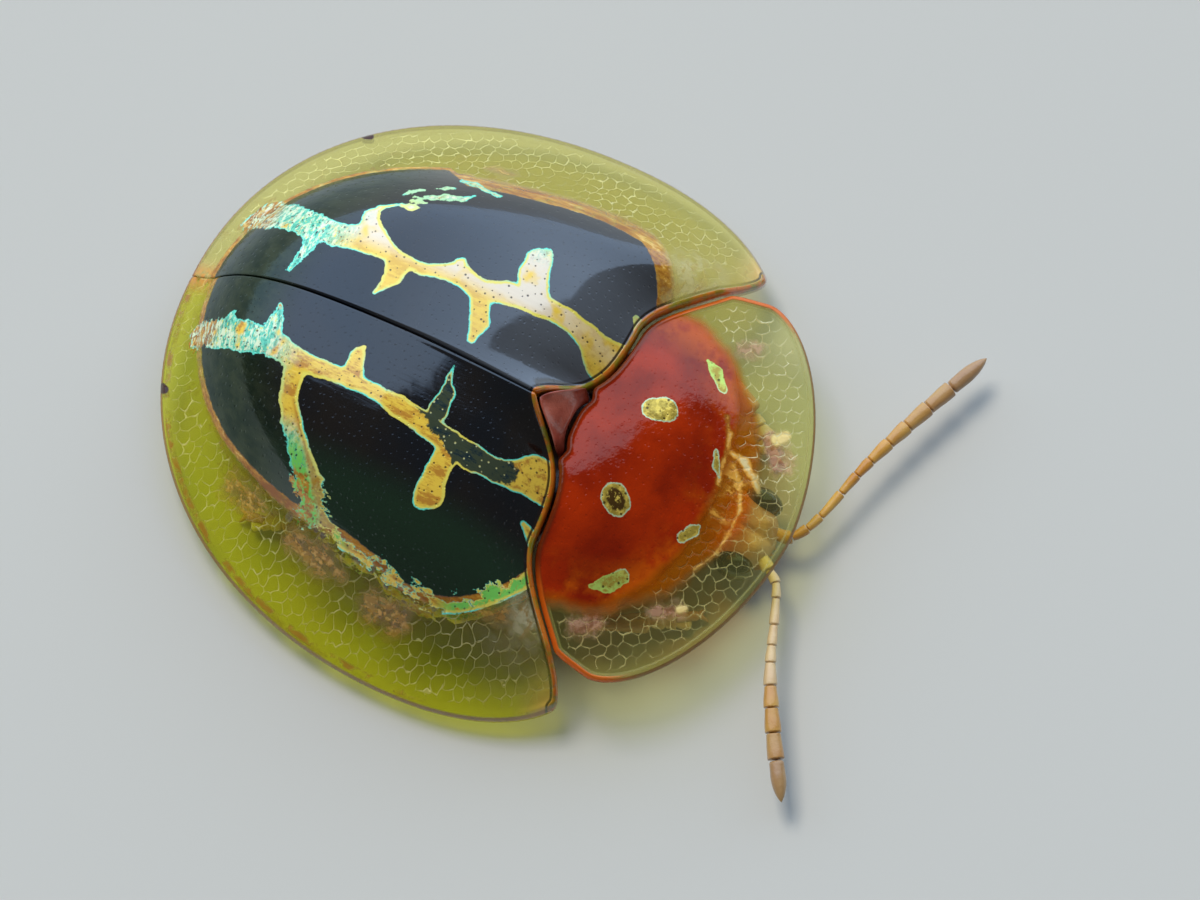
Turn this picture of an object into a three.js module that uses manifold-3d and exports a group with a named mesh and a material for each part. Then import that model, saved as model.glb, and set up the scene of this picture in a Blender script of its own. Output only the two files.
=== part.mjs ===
// A tortoise beetle at life size, standing still on its six tarsi.
// It faces -Y with its left side on +X. Lengths are in millimetres.
// Places on the body are given as (s, t, z): s runs forward from the line of the shoulders,
// t runs out to one side from the midline, and z is the height over the floor.
import * as THREE from "three";
import { mergeVertices } from "three/addons/utils/BufferGeometryUtils.js";
import Module from "manifold-3d";

const wasm = await Module();
wasm.setup();

// Driving dimensions of the shield
const gap = 0.1; // clear space kept between neighbouring pieces
const rim = {
  middle: -2.0, // s of the widest place
  halfWidth: 3.45,
  rear: 4.07, // from the widest place back to the rear end
  front: 3.58, // the same oval's reach forward, cut off by the shoulders
  power: 2.13, // 2 is an ellipse, more is squarer
  endHeight: 0.56, // the rim is highest at the rear end
  sideHeight: 0.34, // and lowest at the sides
  rearAngle: 4.5, // degrees from the rear end to where each elytron's rim starts
  shoulderAngle: 123.5, // degrees round to the shoulder corner
  cornerCut: 0.1,
};
const disc = {
  crestHeight: 2.48,
  crestFrom: -3.2, // the crest falls towards the head in front of here
  crestFall: 0.1,
  edgeShare: { rear: 0.925, side: 0.735 }, // where the convex disc gives way to the flat margin
  edgeHeight: { rear: 0.9, side: 1.38 },
  roundness: { rear: [2.6, 8], side: [2.2, 4.5] }, // powers of the two domes that are blended
  softShare: 0.45,
  marginSag: 1.25,
};
const base = {
  edge: -1.02, // s of the elytra's front edge beside the scutellum
  notch: 0.64, // depth of the notch that the scutellum fills
  notchWidth: 0.42,
  shoulderFrom: 1.35,
  shoulderWidth: 1.65,
  drop: 0.5, // how far the base bends down to meet the pronotum
  dropLength: 0.5,
};
const shell = { disc: 0.42, rim: 0.24, steepest: 1.7 };

// Driving dimensions of the pronotum
const pronotum = {
  halfWidth: 2.44,
  widestAt: 0.15,
  front: 1.37,
  frontPower: 1.72,
  rearEdge: -0.9,
  rearSweep: 1.05,
  lobe: 0.3,
  lobeWidth: 0.5,
  marginHeight: 0.92,
  discRise: 0.86,
  discCentre: -1.2,
  discLength: 1.75,
  discWidth: 1.95,
  discShare: 0.85,
  thickness: 0.3,
};

// Driving dimensions of the body and limbs under the shield
const belly = 0.78;
const abdomen = { from: -5.22, to: -3.06, middle: -2.9, length: 2.4, halfWidth: 2.05, segments: 5 };
const thorax = { from: -2.96, to: -1.12, halfWidth: 2.15 };
const chest = { from: -1.02, to: 0.42, halfWidth: 1.3, bottom: 0.64, keel: 0.26 };
const head = { s: 0.88, z: 0.44, length: 0.42, halfWidth: 0.44, height: 0.29, back: 0.51 };
const eye = { s: 1.0, t: 0.4, z: 0.5, length: 0.23, halfWidth: 0.16, height: 0.2 };
const feeler = { joints: 11, slender: 0.19, club: 0.23, tip: 0.05, clubFrom: 0.58, notch: 0.1 };
// Radii along a leg, from the coxa to the claws
const limb = { coxa: 0.3, trochanter: 0.21, femur: 0.27, knee: 0.21, ankle: 0.21, pad: 0.24, claw: 0.1 };

const smooth = (x) => {
  const k = Math.min(Math.max(x, 0), 1);
  return k * k * (3 - 2 * k);
};
const mix = (a, b, k) => a + (b - a) * k;

// The oval rim of both elytra together, by its angle from the rear end
function rimPoint(angle) {
  const c = Math.cos(angle);
  const d = Math.sin(angle);
  const k = (Math.abs(c) ** rim.power + Math.abs(d) ** rim.power) ** (-1 / rim.power);
  const reach = c > 0 ? rim.rear : rim.front;
  return [rim.middle - reach * c * k, rim.halfWidth * d * k];
}

// The front edge of the elytra: a notch for the scutellum, then out and forward to the shoulder
function frontEdge(t) {
  const notch = base.notch * Math.exp(-((t / base.notchWidth) ** 1.5));
  return base.edge - notch - base.edge * smooth((t - base.shoulderFrom) / base.shoulderWidth);
}

// Height of the elytra's upper face: a dome out to the disc's edge, then a sloping flat margin
function elytraTop(s, side) {
  const t = Math.abs(side);
  const behind = s <= rim.middle;
  const along = (s - rim.middle) / (behind ? rim.rear : rim.front);
  const inside = Math.max(1 - Math.min(Math.abs(along), 1) ** rim.power, 1e-6);
  const width = rim.halfWidth * inside ** (1 / rim.power);
  const share = behind
    ? (Math.abs(along) ** rim.power + (t / rim.halfWidth) ** rim.power) ** (1 / rim.power)
    : t / width;
  const angle = behind
    ? Math.atan2(t / rim.halfWidth, -along)
    : Math.atan2(width / rim.halfWidth, -along);
  const lateral = Math.sin(angle) ** 2;
  const turn = smooth(angle / (0.42 * Math.PI));
  const edge = mix(disc.edgeShare.rear, disc.edgeShare.side, turn);
  const edgeHeight = mix(disc.edgeHeight.rear, disc.edgeHeight.side, turn);
  const rimHeight = mix(rim.endHeight, rim.sideHeight, lateral);
  let z;
  if (share < edge) {
    const crest = disc.crestHeight - disc.crestFall * Math.max(0, s - disc.crestFrom) ** 1.5;
    const soft = mix(disc.roundness.rear[0], disc.roundness.side[0], turn);
    const hard = mix(disc.roundness.rear[1], disc.roundness.side[1], turn);
    const k = share / edge;
    const dome = 1 - disc.softShare * k ** soft - (1 - disc.softShare) * k ** hard;
    z = mix(edgeHeight, crest, dome);
  } else {
    const k = Math.min((share - edge) / (1 - edge), 1);
    z = mix(rimHeight, edgeHeight, (1 - k) ** disc.marginSag);
  }
  const back = Math.max(frontEdge(t) - s, 0) / base.dropLength;
  const across = smooth(t / 0.5) * (1 - smooth((t - 1.8) / 1.1));
  return z - base.drop * across * Math.exp(-(back ** 1.5));
}

function pronotumRear(t) {
  const k = Math.min(Math.abs(t) / pronotum.halfWidth, 1);
  const sweep = pronotum.rearSweep * (1 - (1 - k ** 3.2) ** 0.6);
  const lobe = pronotum.lobe * Math.exp(-((Math.abs(t) / pronotum.lobeWidth) ** 3));
  return pronotum.rearEdge + sweep - lobe;
}

function pronotumFront(t) {
  const k = Math.min(Math.abs(t) / pronotum.halfWidth, 1);
  const share = (1 - k ** pronotum.frontPower) ** (1 / pronotum.frontPower);
  return pronotum.widestAt + pronotum.front * share;
}

function pronotumTop(s, t) {
  const along = (s - pronotum.discCentre) / pronotum.discLength;
  const out = Math.hypot(along, t / pronotum.discWidth) / pronotum.discShare;
  return pronotum.marginHeight + pronotum.discRise / (1 + out ** 4.2);
}

// The face that lies a given depth under a curved upper face, measured square to it
function under(top, s, t, depth) {
  const h = 0.02;
  const slopeS = (top(s + h, t) - top(s - h, t)) / (2 * h);
  const slopeT = (top(s, t + h) - top(s, t - h)) / (2 * h);
  return top(s, t) - depth * Math.min(Math.sqrt(1 + slopeS ** 2 + slopeT ** 2), shell.steepest);
}

// A box with its faces divided and every corner moved to place(u, v, w), each from 0 to 1
function shaped(alongSteps, acrossSteps, upSteps, place, side = 1) {
  const box = new THREE.BoxGeometry(1, 1, 1, alongSteps, acrossSteps, upSteps);
  const at = box.attributes.position;
  for (let i = 0; i < at.count; i++) {
    const [s, t, z] = place(at.getX(i) + 0.5, at.getY(i) + 0.5, at.getZ(i) + 0.5);
    at.setXYZ(i, side * t, -s, z);
  }
  return joined(box, side < 0);
}

// Leaves only the places of the corners, each once, and turns the faces over where asked
function joined(geometry, turn = false) {
  geometry.deleteAttribute("normal");
  geometry.deleteAttribute("uv");
  const whole = mergeVertices(geometry, 1e-5);
  if (turn) {
    const order = whole.index.array;
    for (let i = 0; i < order.length; i += 3) {
      [order[i], order[i + 1]] = [order[i + 1], order[i]];
    }
  }
  return whole;
}

function solid(geometry) {
  return new wasm.Manifold(
    new wasm.Mesh({
      numProp: 3,
      vertProperties: new Float32Array(geometry.attributes.position.array),
      triVerts: new Uint32Array(geometry.index.array),
    }),
  );
}

function surface(made) {
  const bodies = made.decompose().sort((a, b) => b.volume() - a.volume());
  const mesh = bodies[0].getMesh();
  const geometry = new THREE.BufferGeometry();
  geometry.setAttribute("position", new THREE.BufferAttribute(mesh.vertProperties, 3));
  geometry.setIndex(new THREE.BufferAttribute(mesh.triVerts, 1));
  return geometry;
}

function block(fromS, toS, fromZ, toZ) {
  const wide = 8;
  return solid(
    shaped(1, 1, 1, (u, v, w) => [mix(fromS, toS, u), mix(-wide, wide, v), mix(fromZ, toZ, w)]),
  );
}

function ball(s, t, z, length, halfWidth, height) {
  const geometry = new THREE.SphereGeometry(1, 16, 10);
  geometry.rotateX(Math.PI / 2);
  geometry.scale(halfWidth, length, height);
  geometry.translate(t, -s, z);
  return joined(geometry);
}

// One elytron: rows run from the suture out to the rim, fanned round the rear end
function elytron(side) {
  const seam = gap / 2;
  const first = rim.middle - rim.rear + 0.03;
  const last = frontEdge(seam);
  const corner = rimPoint(THREE.MathUtils.degToRad(rim.shoulderAngle));
  const place = (u, v, w) => {
    const angle = THREE.MathUtils.degToRad(mix(rim.rearAngle, rim.shoulderAngle, u));
    const out = rimPoint(angle);
    let s = mix(mix(first, last, u), out[0], v);
    let t = mix(seam, out[1], v);
    const edgeT = mix(seam, corner[1], v);
    s += (frontEdge(edgeT) - mix(last, corner[0], v)) * u ** 6;
    const cut = rim.cornerCut * u ** 14 * v ** 14;
    s -= cut;
    t -= cut;
    const depth = mix(shell.disc, shell.rim, smooth((v - 0.55) / 0.45));
    const z = w > 0.5 ? elytraTop(s, t) : under(elytraTop, s, t, depth);
    return [s, t, z];
  };
  return shaped(34, 15, 1, place, side);
}

function pronotumPlate() {
  const place = (u, v, w) => {
    const t = pronotum.halfWidth * Math.sin(1.5 * (2 * v - 1));
    const s = mix(pronotumRear(t), pronotumFront(t), u);
    const z = w > 0.5 ? pronotumTop(s, t) : under(pronotumTop, s, t, pronotum.thickness);
    return [s, t, z];
  };
  return shaped(15, 30, 1, place);
}

function scutellumPlate() {
  const halfWidth = 0.34;
  const place = (u, v, w) => {
    const t = mix(-halfWidth, halfWidth, v);
    const tip = frontEdge(Math.abs(t)) + 0.9 * gap;
    const s = mix(tip, pronotumRear(t) - 0.8 * gap, u);
    const top = 2.2 - 0.32 * u - 1.9 * t * t;
    return [s, t, w > 0.5 ? top : mix(1.76, 1.6, u)];
  };
  return shaped(4, 8, 1, place);
}

const shieldUnder = (s, t) => under(elytraTop, s, t, shell.disc + gap);

function abdomenBody() {
  const place = (u, v, w) => {
    const s = mix(abdomen.from, abdomen.to, Math.sin((Math.PI / 2) * u));
    const k = Math.abs((s - abdomen.middle) / abdomen.length);
    const across = 2 * v - 1;
    const t = across * abdomen.halfWidth * Math.sqrt(1 - k ** 2);
    const joint = (abdomen.segments * (s - abdomen.from)) / (abdomen.to - abdomen.from);
    const groove = 0.05 * Math.exp(-(((joint - Math.round(joint)) / 0.14) ** 2));
    const top = Math.min(shieldUnder(s, t), 1.75);
    const curve = 0.16 * across ** 2 + 0.16 * k ** 2;
    const bottom = Math.min(belly + curve + groove, top - 0.12);
    return [s, t, mix(bottom, top, w)];
  };
  return shaped(24, 12, 1, place);
}

function thoraxBody() {
  const place = (u, v, w) => {
    const s = mix(thorax.from, thorax.to, u);
    const across = 2 * v - 1;
    const t = across * thorax.halfWidth * (1 - 0.22 * u ** 3);
    const under = shieldUnder(s, t);
    const top = mix(Math.min(under, 1.75), Math.min(under, 1.45), smooth((s + 1.6) / 0.4));
    const curve = 0.12 * smooth((Math.abs(across) - 0.72) / 0.28);
    return [s, t, mix(belly + curve, Math.max(top, belly + curve + 0.1), w)];
  };
  return shaped(10, 12, 1, place);
}

function chestBody() {
  const place = (u, v, w) => {
    const s = mix(chest.from, chest.to, u);
    const across = 2 * v - 1;
    const t = across * chest.halfWidth * (1 - 0.3 * u ** 2);
    const top = under(pronotumTop, s, t, pronotum.thickness + gap);
    const keel = chest.keel * Math.exp(-((t / 0.4) ** 2)) * smooth((s + 0.1) / 0.4);
    const bottom = Math.min(chest.bottom - keel, top - 0.1);
    return [s, t, mix(bottom, top, w)];
  };
  return shaped(10, 12, 1, place);
}

function headBody() {
  let made = solid(ball(head.s, 0, head.z, head.length, head.halfWidth, head.height));
  made = made.add(solid(ball(head.s + 0.2, 0, head.z - 0.16, 0.2, 0.2, 0.14)));
  for (const side of [-1, 1]) {
    const room = 0.6 * gap;
    const socket = ball(
      eye.s,
      side * eye.t,
      eye.z,
      eye.length + room,
      eye.halfWidth + room,
      eye.height + room,
    );
    made = made.subtract(solid(socket));
  }
  made = made.subtract(block(-1, head.back, -1, 2));
  return surface(made);
}

// The rear end of each antenna lies close in front of the head
const feelerPath = {
  left: [
    [1.38, 0.17, 0.47],
    [1.56, 0.27, 0.49],
    [1.68, 0.6, 0.5],
    [1.87, 1.3, 0.5],
    [2.16, 2.1, 0.47],
    [2.57, 3.07, 0.45],
  ],
  right: [
    [1.38, -0.3, 0.47],
    [1.56, -0.42, 0.49],
    [1.71, -0.8, 0.5],
    [1.92, -1.35, 0.5],
    [2.25, -1.97, 0.47],
    [2.69, -2.67, 0.45],
  ],
};

// A round bar whose girth follows girth(k) along a smooth path, k running from 0 to 1
function bar(points, girth, steps, sides) {
  const path = new THREE.CatmullRomCurve3(points.map(([s, t, z]) => new THREE.Vector3(t, -s, z)));
  const tube = new THREE.CylinderGeometry(1, 1, 1, sides, steps);
  const at = tube.attributes.position;
  const up = new THREE.Vector3(0, 0, 1);
  for (let i = 0; i < at.count; i++) {
    const k = 0.5 - at.getY(i);
    const middle = path.getPointAt(k);
    const ahead = path.getTangentAt(k);
    const across = new THREE.Vector3().crossVectors(ahead, up).normalize();
    const rise = new THREE.Vector3().crossVectors(across, ahead);
    const r = girth(k);
    middle.addScaledVector(across, r * at.getX(i));
    middle.addScaledVector(rise, r * at.getZ(i));
    at.setXYZ(i, middle.x, middle.y, middle.z);
  }
  return joined(tube, true);
}

function antenna(points) {
  const girth = (k) => {
    const body = mix(feeler.slender, feeler.club, smooth((k - feeler.clubFrom) / 0.12));
    const end = smooth((1 - k) / 0.14);
    const joint = feeler.joints * k;
    const waist = feeler.notch * Math.exp(-(((joint - Math.round(joint)) / 0.16) ** 2));
    return mix(feeler.tip, body * (1 - waist), end);
  };
  return bar(points, girth, 3 * feeler.joints, 8);
}

// A straight length of limb, round at both ends and tapering between them
function segment(from, to, fromRadius, toRadius) {
  const a = new THREE.Vector3(from[1], -from[0], from[2]);
  const b = new THREE.Vector3(to[1], -to[0], to[2]);
  const length = a.distanceTo(b);
  const profile = [];
  const arc = 3;
  for (let i = 0; i <= arc; i++) {
    const turn = (Math.PI / 2) * (i / arc);
    profile.push(new THREE.Vector2(fromRadius * Math.sin(turn), -fromRadius * Math.cos(turn)));
  }
  for (let i = arc; i >= 0; i--) {
    const turn = (Math.PI / 2) * (i / arc);
    profile.push(new THREE.Vector2(toRadius * Math.sin(turn), length + toRadius * Math.cos(turn)));
  }
  const lathe = new THREE.LatheGeometry(profile, 9);
  const along = b.clone().sub(a).normalize();
  const turned = new THREE.Quaternion().setFromUnitVectors(new THREE.Vector3(0, 1, 0), along);
  lathe.applyQuaternion(turned);
  lathe.translate(a.x, a.y, a.z);
  return solid(joined(lathe));
}

// Each leg's places on the left side: coxa, end of the trochanter, knee, ankle and claw
const legPath = {
  front: [
    [-0.4, 0.38, 0.34],
    [-0.42, 0.85, 0.3],
    [-0.12, 1.72, 0.34],
    [0.4, 1.4, 0.26],
    [0.82, 1.05, 0.15],
  ],
  middle: [
    [-1.75, 0.5, 0.48],
    [-1.85, 1.0, 0.42],
    [-1.75, 1.95, 0.42],
    [-2.15, 2.3, 0.28],
    [-2.45, 2.6, 0.15],
  ],
  hind: [
    [-2.62, 0.5, 0.48],
    [-2.85, 1.0, 0.42],
    [-3.35, 1.95, 0.42],
    [-3.85, 2.15, 0.28],
    [-4.3, 2.2, 0.15],
  ],
};

function leg(name, side) {
  const [coxa, trochanter, knee, ankle, claw] = legPath[name].map(([s, t, z]) => [s, side * t, z]);
  const between = (a, b, k) => a.map((value, i) => mix(value, b[i], k));
  const chain = [
    [coxa, limb.coxa],
    [trochanter, limb.trochanter],
    [between(trochanter, knee, 0.45), limb.femur],
    [knee, limb.knee],
    [ankle, limb.ankle],
    [between(ankle, claw, 0.6), limb.pad],
    [claw, limb.claw],
  ];
  let made;
  for (let i = 1; i < chain.length; i++) {
    const piece = segment(chain[i - 1][0], chain[i][0], chain[i - 1][1], chain[i][1]);
    made = made ? made.add(piece) : piece;
  }
  const ceiling = (name === "front" ? chest.bottom : belly) - gap;
  made = made.subtract(block(-8, 4, -2, 0));
  made = made.subtract(block(-8, 4, ceiling, 3));
  return surface(made);
}

const finish = {
  black: new THREE.MeshStandardMaterial({ color: 0x0b0c10, roughness: 0.18, metalness: 0.1 }),
  red: new THREE.MeshStandardMaterial({ color: 0x8c2a0a, roughness: 0.2, metalness: 0 }),
  brown: new THREE.MeshStandardMaterial({ color: 0x6b2c12, roughness: 0.4, metalness: 0 }),
  amber: new THREE.MeshStandardMaterial({ color: 0xb06a20, roughness: 0.35, metalness: 0 }),
  eye: new THREE.MeshStandardMaterial({ color: 0x101014, roughness: 0.3, metalness: 0 }),
};

const beetle = new THREE.Group();
function put(name, geometry, material) {
  const mesh = new THREE.Mesh(geometry, material);
  mesh.name = name;
  beetle.add(mesh);
}

put("pronotum", pronotumPlate(), finish.red);
put("scutellum", scutellumPlate(), finish.brown);
put("abdomen", abdomenBody(), finish.brown);
put("pterothorax", thoraxBody(), finish.brown);
put("prothorax", chestBody(), finish.brown);
put("head", headBody(), finish.amber);
for (const [label, side] of [
  ["left", 1],
  ["right", -1],
]) {
  put("elytron_" + label, elytron(side), finish.black);
  const eyeball = ball(eye.s, side * eye.t, eye.z, eye.length, eye.halfWidth, eye.height);
  put("eye_" + label, eyeball, finish.eye);
  put("antenna_" + label, antenna(feelerPath[label]), finish.amber);
  for (const name of Object.keys(legPath)) {
    put("leg_" + name + "_" + label, leg(name, side), finish.amber);
  }
}

// The origin lies on the floor under the middle of the whole beetle's length
const extent = new THREE.Box3().setFromObject(beetle);
beetle.position.y = -(extent.min.y + extent.max.y) / 2;
const part = new THREE.Group();
part.add(beetle);

export default part;
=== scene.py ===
from math import cos, pi, radians, sin

import bmesh
import bpy
import numpy as np
from mathutils import Matrix, Vector
from mathutils.kdtree import KDTree


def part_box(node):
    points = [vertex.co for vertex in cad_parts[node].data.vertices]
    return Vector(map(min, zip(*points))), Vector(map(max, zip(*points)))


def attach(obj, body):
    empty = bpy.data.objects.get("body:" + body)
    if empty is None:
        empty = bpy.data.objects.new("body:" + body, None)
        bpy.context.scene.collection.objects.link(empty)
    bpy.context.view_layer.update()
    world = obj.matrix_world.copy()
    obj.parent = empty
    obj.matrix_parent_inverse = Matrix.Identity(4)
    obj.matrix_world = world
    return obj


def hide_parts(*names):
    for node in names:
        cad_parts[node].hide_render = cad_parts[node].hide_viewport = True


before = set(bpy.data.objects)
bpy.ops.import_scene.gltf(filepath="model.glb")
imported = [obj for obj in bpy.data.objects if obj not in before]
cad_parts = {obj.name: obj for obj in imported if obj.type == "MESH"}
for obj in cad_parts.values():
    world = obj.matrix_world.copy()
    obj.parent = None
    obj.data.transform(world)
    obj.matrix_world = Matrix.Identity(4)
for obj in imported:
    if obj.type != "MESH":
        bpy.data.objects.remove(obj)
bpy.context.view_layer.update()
scene = bpy.context.scene
mm = 0.001
sides = {"Left": 1, "Right": -1}

# Driving sizes of the shield, the same as those of its solid
rim = {"middle": -2.0, "halfWidth": 3.45, "rear": 4.07, "front": 3.58, "power": 2.13,
       "endHeight": 0.56, "sideHeight": 0.34, "solidFrom": 4.5, "shoulderAngle": 123.5}
dome = {"crest": 2.48, "crestFrom": -3.2, "crestFall": 0.1, "edgeRear": 0.925, "edgeSide": 0.735,
        "heightRear": 0.9, "heightSide": 1.38, "softRear": 2.6, "softSide": 2.2,
        "hardRear": 8.0, "hardSide": 4.5, "softShare": 0.45, "marginSag": 1.25, "turnOver": 0.42}
base = {"edge": -1.02, "notch": 0.64, "notchWidth": 0.42, "shoulderFrom": 1.35, "shoulderWidth": 1.65,
        "drop": 0.5, "dropLength": 0.5}
shield = {"halfWidth": 2.44, "widestAt": 0.15, "front": 1.37, "frontPower": 1.72, "rearEdge": -0.9,
          "rearSweep": 1.05, "lobe": 0.3, "lobeWidth": 0.5, "marginHeight": 0.92, "discRise": 0.86,
          "discCentre": -1.2, "discLength": 1.75, "discWidth": 1.95, "discShare": 0.85, "joint": 0.04,
          "reachBack": 0.2, "closing": 0.12}


def smooth(x):
    k = np.clip(x, 0, 1)
    return k * k * (3 - 2 * k)


def mix(a, b, k):
    return a + (b - a) * k


def bump(x, middle, width):
    return np.exp(-(((x - middle) / width) ** 2))


def rimPoint(angle):
    c, d = np.cos(angle), np.sin(angle)
    k = (np.abs(c) ** rim["power"] + np.abs(d) ** rim["power"]) ** (-1 / rim["power"])
    reach = np.where(c > 0, rim["rear"], rim["front"])
    return rim["middle"] - reach * c * k, rim["halfWidth"] * d * k


def frontEdge(t):
    notch = base["notch"] * np.exp(-((np.abs(t) / base["notchWidth"]) ** 1.5))
    reach = smooth((np.abs(t) - base["shoulderFrom"]) / base["shoulderWidth"])
    return base["edge"] - notch - base["edge"] * reach


def ovalShare(s, t):  # 0 on the midline, 1 on the rim, and how far round from the rear end
    t = np.abs(t)
    p = rim["power"]
    behind = s <= rim["middle"]
    along = (s - rim["middle"]) / np.where(behind, rim["rear"], rim["front"])
    width = rim["halfWidth"] * np.maximum(1 - np.minimum(np.abs(along), 1) ** p, 1e-6) ** (1 / p)
    share = np.where(behind, (np.abs(along) ** p + (t / rim["halfWidth"]) ** p) ** (1 / p), t / width)
    angle = np.arctan2(np.where(behind, t, width) / rim["halfWidth"], -along)
    return share, angle


def discEdge(angle):
    return mix(dome["edgeRear"], dome["edgeSide"], smooth(angle / (dome["turnOver"] * pi)))


def elytraTop(s, t):
    share, angle = ovalShare(s, t)
    turn = smooth(angle / (dome["turnOver"] * pi))
    edge = discEdge(angle)
    edgeHeight = mix(dome["heightRear"], dome["heightSide"], turn)
    rimHeight = mix(rim["endHeight"], rim["sideHeight"], np.sin(angle) ** 2)
    crest = dome["crest"] - dome["crestFall"] * np.maximum(0, s - dome["crestFrom"]) ** 1.5
    k = share / edge
    soft = dome["softShare"] * k ** mix(dome["softRear"], dome["softSide"], turn)
    hard = (1 - dome["softShare"]) * k ** mix(dome["hardRear"], dome["hardSide"], turn)
    down = np.clip((share - edge) / (1 - edge), 0, 1)
    margin = mix(rimHeight, edgeHeight, (1 - down) ** dome["marginSag"])
    z = np.where(share < edge, mix(edgeHeight, crest, 1 - soft - hard), margin)
    t = np.abs(t)
    back = np.maximum(frontEdge(t) - s, 0) / base["dropLength"]
    across = smooth(t / 0.5) * (1 - smooth((t - 1.8) / 1.1))
    return z - base["drop"] * across * np.exp(-(back ** 1.5))


def pronotumRear(t):
    k = np.minimum(np.abs(t) / shield["halfWidth"], 1)
    sweep = shield["rearSweep"] * (1 - (1 - k ** 3.2) ** 0.6)
    return shield["rearEdge"] + sweep - shield["lobe"] * np.exp(-((np.abs(t) / shield["lobeWidth"]) ** 3))


def pronotumFront(t):
    k = np.minimum(np.abs(t) / shield["halfWidth"], 1)
    power = shield["frontPower"]
    return shield["widestAt"] + shield["front"] * (1 - k ** power) ** (1 / power)


def reachBack(t):  # how far the pronotum's rear edge is drawn back to close on the elytra
    room = pronotumRear(t) - frontEdge(t) - shield["joint"]
    closing = smooth((shield["halfWidth"] - np.abs(t)) / shield["closing"])
    return np.clip(room, 0, shield["reachBack"]) * smooth((np.abs(t) - 0.3) / 0.2) * closing


def pronotumTop(s, t):
    out = np.hypot((s - shield["discCentre"]) / shield["discLength"], t / shield["discWidth"])
    return shield["marginHeight"] + shield["discRise"] / (1 + (out / shield["discShare"]) ** 4.2)


def slopeOf(top, s, t, h=0.02):  # how much longer the way through a sloping shell is than straight down
    ds = (top(s + h, t) - top(s - h, t)) / (2 * h)
    dt = (top(s, t + h) - top(s, t - h)) / (2 * h)
    return np.minimum(np.sqrt(1 + ds ** 2 + dt ** 2), 1.7)


# The solids stand with the middle of their length over the origin
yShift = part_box("elytron_left")[1].y / mm + rimPoint(radians(rim["solidFrom"]))[0]


def inRow(s, t, z):
    return Vector((t, yShift - s, z)) * mm


# Camera: the photo looks down on the beetle's right, with its head to the right
view = {"azimuth": -64.4, "elevation": 74.0, "distance": 120.0, "lens": 315.0, "sensor": 36.0,
        "place": (-2.0, 0.0, 0.56), "pixel": (510.9, 422.8), "image": (1200, 900)}


def viewAxes():
    a, e = radians(view["azimuth"]), radians(view["elevation"])
    back = Vector((sin(a) * cos(e), -cos(a) * cos(e), sin(e)))
    right = Vector((cos(a), sin(a), 0))
    return right, back.cross(right), back


def addCamera():
    right, up, back = viewAxes()
    camera = bpy.data.objects.new("camera", bpy.data.cameras.new("camera"))
    scene.collection.objects.link(camera)
    camera.data.lens = view["lens"]
    camera.data.sensor_width = view["sensor"]
    camera.data.clip_start = 0.001
    camera.data.clip_end = 10
    wide, high = view["image"]
    pixel = view["distance"] * view["sensor"] / view["lens"] / wide
    aside = (wide / 2 - view["pixel"][0]) * pixel
    down = (high / 2 - view["pixel"][1]) * pixel
    aim = inRow(*view["place"]) + (right * aside - up * down) * mm
    turn = Matrix((right, up, back)).transposed().to_4x4()
    camera.matrix_world = Matrix.Translation(aim + back * view["distance"] * mm) @ turn
    scene.camera = camera


addCamera()
print("camera set")

# Light: a wide pale sky over the beetle's left, and a soft key lamp that the gloss doesn't mirror.
# Directions are (right, up, back) as the photo shows them.
light = {"sky": (0.98, 1.27, 1.7), "shade": (0.07, 0.07, 0.07), "backdrop": (0.5, 0.52, 0.51),
         "skyTowards": (-0.12, 0.99, 0.0), "skyFrom": 0.37, "skyTo": 0.42, "ragged": 0.34,
         "floor": (0.62, 0.6, 0.54)}
lamps = {"key": {"towards": (-0.25, 0.62, 0.74), "size": (0.16, 0.16), "distance": 0.45, "power": 1.15,
                 "colour": (1.0, 0.95, 0.86)}}


def towardsWorld(right, up, back):
    x, y, z = viewAxes()
    return (x * right + y * up + z * back).normalized()


def addLamp(name, kind):
    right, up, back = viewAxes()
    lamp = bpy.data.lights.new(name, "AREA")
    lamp.shape = "RECTANGLE"
    lamp.size, lamp.size_y = kind["size"]
    lamp.energy = kind["power"]
    lamp.color = kind["colour"]
    towards = towardsWorld(*kind["towards"])
    holder = bpy.data.objects.new(name, lamp)
    scene.collection.objects.link(holder)
    holder.visible_glossy = False
    tall = towards.cross(right).normalized()
    turn = Matrix((tall.cross(towards), tall, towards)).transposed().to_4x4()
    holder.matrix_world = Matrix.Translation(towards * kind["distance"]) @ turn


def addRoom():
    world = bpy.data.worlds.new("room")
    world.use_nodes = True
    tree = world.node_tree
    direction = node(tree, "TexCoord", output="Generated")
    height = vector("DOT_PRODUCT", direction, towardsWorld(*light["skyTowards"]))
    rough = noise(direction, 3.4, 5.0, 0.6) - 0.5
    height = height + rough * light["ragged"]
    sky = blend(ramp(height, light["skyFrom"], light["skyTo"]), light["shade"], light["sky"])
    seen = node(tree, "LightPath", output="Is Camera Ray")
    give(tree.nodes["Background"].inputs["Color"], blend(seen, sky, light["backdrop"]))
    scene.world = world
    scene.view_settings.view_transform = "Standard"


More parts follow.
